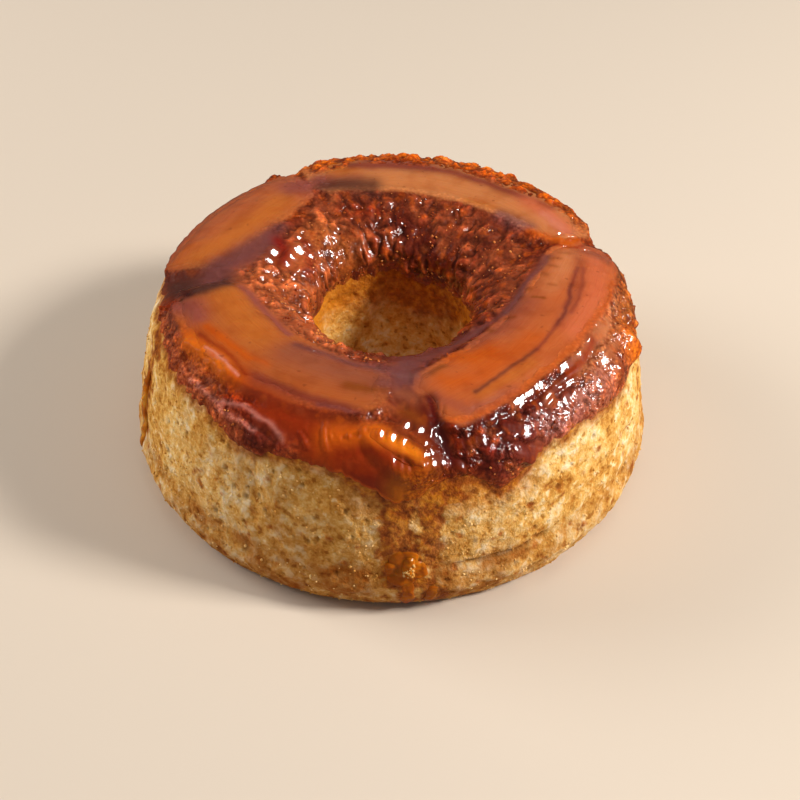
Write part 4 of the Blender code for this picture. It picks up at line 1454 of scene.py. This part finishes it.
# %% Caramel material
caramel_material, tree, shader, place = start_material("set caramel")
tint = attribute(tree, "tint", "Color")
grains, _, clouds = granular(tree, place, 760.0)
grainy = remap(tree, attribute(tree, "gloss"), 0, 1, 1.0, 0.12)
darker = mix_color(tree, 1.0, tint, (0.62, 0.44, 0.34, 1), "MULTIPLY")
lighter = mix_color(tree, 1.0, tint, (1.6, 1.6, 1.45, 1), "MULTIPLY")
speckled = mix_color(tree, remap(tree, grains, 0.1, 0.45), darker, tint)
speckled = mix_color(tree, remap(tree, grains, 0.6, 0.95), speckled, lighter)
height = times(tree, grains, remap(tree, clouds, 0.3, 0.7, 0.2, 1.0))
grain_normal = bump(tree, times(tree, height, grainy), 0.00035)
set_inputs(
    shader, Base_Color=mix_color(tree, grainy, tint, speckled), Roughness=0.4,
    Specular_IOR_Level=0.1, Coat_Weight=1.0, Coat_Roughness=0.06,
    Subsurface_Weight=0.2, Subsurface_Radius=(1.0, 0.25, 0.08), Subsurface_Scale=0.0015,
    Normal=grain_normal, Coat_Normal=grain_normal,
)
caramel_sheet.data.materials.append(caramel_material)

# %% [markdown]
# The fruit is soft and clear, with fibres that run along it. The fibres come from noise that
# is stretched along the slice's own UV map. Light goes a little way into the flesh, so it gets
# some subsurface scattering, and the glaze on it is a thin coat.

# %% Banana material
banana_material, tree, shader, place = start_material("glazed banana")
tint = attribute(tree, "tint", "Color")
uv = add_node(tree, "ShaderNodeUVMap", {"uv_map": "UVMap"}).outputs[0]
stretched = add_node(tree, "ShaderNodeMapping", Vector=uv, Scale=(5.0, 42.0, 1.0)).outputs[0]
fibre = noise_value(tree, stretched, 1.0, 3.0, 0.6)
clouds = granular(tree, place, 900.0)["Clouds"]
darker = mix_color(tree, 1.0, tint, (0.78, 0.64, 0.5, 1), "MULTIPLY")
flesh = mix_color(tree, remap(tree, fibre, 0.45, 0.75, 0, 0.5), tint, darker)
flesh = mix_color(tree, remap(tree, clouds, 0.45, 0.9, 0, 0.6), flesh, darker)
speck = noise_value(tree, place, 480, 0.0, 0.5)
flesh = mix_color(tree, remap(tree, speck, 0.76, 0.82, 0, 0.4), flesh, rgb(110, 46, 20))
height = math_value(tree, "ADD", times(tree, fibre, 0.6), clouds)
set_inputs(
    shader, Base_Color=flesh, Roughness=0.45,
    Specular_IOR_Level=0.1, Coat_Weight=1.0, Coat_Roughness=0.09,
    Subsurface_Weight=0.35, Subsurface_Radius=(1.0, 0.4, 0.15), Subsurface_Scale=0.002,
    Normal=bump(tree, height, 0.0003),
)
for piece in slices.values():
    piece.data.materials.append(banana_material)

# %% [markdown]
# Sugar grains and crumbs break up the surfaces and catch the light. Each is a low ball of
# twenty faces, squashed and turned at random, and all of one kind are joined in one mesh.

# %% Helper: scattered grains
def scatter(name, places_mm, sizes_mm, seed):
    """One mesh of squashed balls at places in mm, each of its own size."""
    random = np.random.default_rng(seed)
    bm = bmesh.new()
    for spot, size in zip(places_mm, sizes_mm):
        stretch = random.uniform(0.6, 1.3, 3) * size * MM
        spin = Matrix.Rotation(random.uniform(0, 2 * math.pi), 4, random.normal(size=3))
        matrix = Matrix.Translation(Vector(spot) * MM) @ spin @ Matrix.Diagonal((*stretch, 1))
        bmesh.ops.create_icosphere(bm, subdivisions=1, radius=1.0, matrix=matrix)
    return new_piece(mesh_from(bm, name))


def places_of(piece):
    """Where a piece's vertices are, in mm."""
    values = np.empty(len(piece.data.vertices) * 3)
    piece.data.vertices.foreach_get("co", values)
    return values.reshape(-1, 3) / MM


# %% Sugar grains on the caramel
SUGAR_COUNT = 900
random = np.random.default_rng(5)
on_rim_or_funnel = (radius < 52) | (radius > 79)
rough_places = np.flatnonzero((glassy < 0.1) & ~under & (to_edge > 2) & on_rim_or_funnel)
chosen = random.choice(rough_places, SUGAR_COUNT, replace=False)
sizes = random.uniform(0.2, 0.55, len(chosen))
sugar = scatter("sugar_grains", places_of(caramel_sheet)[chosen], sizes, 6)

# %% [markdown]
# Sugar and the caramel of the drips are both clear, with clouds inside them, under a coat that
# is nearly a mirror. The drips are larger, so light also wanders a little way through them.

# %% Sugar and clear caramel
sugar_material, tree, shader, place = start_material("sugar")
clouds = granular(tree, place, 900.0)["Clouds"]
sugar_tones = [(0.2, (110, 30, 6)), (0.5, (170, 72, 24)), (0.85, (226, 140, 70))]
set_inputs(
    shader, Base_Color=ramp(tree, clouds, sugar_tones), Roughness=0.3,
    Specular_IOR_Level=0.1, Coat_Weight=1.0, Coat_Roughness=0.05,
)
sugar.data.materials.append(sugar_material)

bead_material, tree, shader, place = start_material("clear caramel")
clouds = granular(tree, place, 700.0)["Clouds"]
bead_tones = [(0.15, (164, 82, 4)), (0.5, (202, 114, 12)), (0.9, (234, 164, 54))]
set_inputs(
    shader, Base_Color=ramp(tree, clouds, bead_tones), Roughness=0.3,
    Specular_IOR_Level=0.1, Coat_Weight=1.0, Coat_Roughness=0.05,
    Subsurface_Weight=0.3, Subsurface_Radius=(1.0, 0.3, 0.08), Subsurface_Scale=0.002,
    Normal=bump(tree, clouds, 0.0005),
)
drips.data.materials.append(bead_material)

# %% [markdown]
# Crumbs that rubbed off cling to the dry wall, clear of the caramel and of the syrup. A few
# more are caught on the thick drip at the front. None lies so far out that it would make the
# whole cake larger than its solid.

# %% Loose flecks of crumb
FLECK_COUNT, CAUGHT_COUNT = 900, 24
FLECK_LIMIT = 94.0
DRIP_ANGLE, DRIP_HEIGHT = -85.8, 22.5
spots = places_of(crumb)
on_wall = np.flatnonzero(
    (spots[:, 2] > 1.5) & (spots[:, 2] < 56) & (polar(spots)[0] > 84)
    & (abs(spots[:, :2]).max(axis=1) < FLECK_LIMIT)
)
clear = (skirt_height(crumb_angles[on_wall]) - spots[on_wall, 2] > 4) & (crumb_wet[on_wall] < 0.3)
chosen = random.choice(on_wall[clear], FLECK_COUNT, replace=False)
sizes = random.uniform(0.2, 0.6, len(chosen))
bead_spots = places_of(drips)
bead_radius, bead_angle = polar(bead_spots)
on_bead = np.flatnonzero(
    (abs(bead_angle - DRIP_ANGLE) < 1.5) & (abs(bead_spots[:, 2] - DRIP_HEIGHT) < 3)
    & (bead_radius > 94)
)
caught = random.choice(on_bead, min(CAUGHT_COUNT, len(on_bead)), replace=False)
places = np.concatenate([spots[chosen], bead_spots[caught]])
sizes = np.concatenate([sizes, random.uniform(0.3, 0.6, len(caught))])
flecks = scatter("crumb_flecks", places, sizes, 7)
fleck_material, tree, shader, place = start_material("pale crumb")
tone = noise_value(tree, place, 130, 2.0, 0.5)
fleck_color = mix_color(tree, remap(tree, tone, 0.4, 0.62), rgb(206, 146, 66), rgb(244, 206, 140))
set_inputs(shader, Base_Color=fleck_color, Roughness=0.8, Specular_IOR_Level=0.25)
flecks.data.materials.append(fleck_material)

# %% [markdown]
# Glossy food needs a light to mirror. One small key lamp stands on the right, where the facets
# expect it, and a weaker one on the left gives the far lumps their glint. Two large soft lamps
# and a dim world fill the shadows and hardly show in reflections, so that the dark caramel
# stays dark. The floor is kept out of the reflections for the same reason.

# %% Floor and light
bm = bmesh.new()
bmesh.ops.create_grid(bm, x_segments=1, y_segments=1, size=3.0)
floor = in_scene("floor", mesh_from(bm, "floor"))
floor_material, _, shader, _ = start_material("pale floor")
set_inputs(shader, Base_Color=rgb(212, 197, 180), Roughness=0.7)
floor.data.materials.append(floor_material)
floor.visible_glossy = False
floor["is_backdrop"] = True


def softbox(name, place, size, power, color, mirrored=False, lights=True):
    """A lamp that faces the cake. It may show in reflections, light the surfaces, or both."""
    lamp = bpy.data.lights.new(name, "AREA")
    lamp.shape = "RECTANGLE"
    lamp.size, lamp.size_y = size
    lamp.energy = power
    lamp.color = color
    holder = in_scene(name, lamp)
    aim = (Vector((0, 0, 0.03)) - Vector(place)).to_track_quat("-Z", "Y").to_matrix().to_4x4()
    holder.matrix_world = Matrix.Translation(Vector(place)) @ aim
    holder.visible_glossy = mirrored
    holder.visible_diffuse = lights


LEFT_PLACE = (-1.2, 0.35, 0.7)
softbox("key", KEY_PLACE, (0.30, 0.30), 24, (1.0, 0.97, 0.92), mirrored=True)
softbox("overhead", (0.1, -0.1, 1.6), (0.9, 0.9), 3.5, (1.0, 0.98, 0.95))
softbox("left window", LEFT_PLACE, (0.8, 0.8), 14, (1.0, 0.98, 0.95))
softbox("left glint", LEFT_PLACE, (0.3, 0.3), 2.2, (1.0, 0.95, 0.95), True, False)
world = bpy.data.worlds.new("studio")
world.use_nodes = True
tree = world.node_tree
glossy = tree.nodes.new("ShaderNodeLightPath").outputs["Is Glossy Ray"]
strength = remap(tree, glossy, 0, 1, 0.19, 0.05)
set_inputs(tree.nodes["Background"], Color=(1.0, 0.97, 0.94, 1), Strength=strength)
bpy.context.scene.world = world
bpy.context.scene.view_settings.view_transform = "Standard"

# %% [markdown]
# Every new piece rides on the cake's one body, and each large one hides the solid that it
# stands for.

# %% Hand over to the frame
for piece, node, slot in ((crumb, "cake_ring", "crumb"), (caramel_sheet, "caramel_crust", "caramel")):
    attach(piece, "root")
    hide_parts(node)
for name, piece in slices.items():
    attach(piece, "root")
    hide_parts(name)
for piece, slot in ((sugar, "caramel"), (drips, "caramel"), (flecks, "crumb")):
    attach(piece, "root")

# %% Sizes
dressed_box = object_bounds()
sizes = {"cad": [list(corner) for corner in cad_box], "dressed": [list(corner) for corner in dressed_box]}
print(json.dumps(sizes))
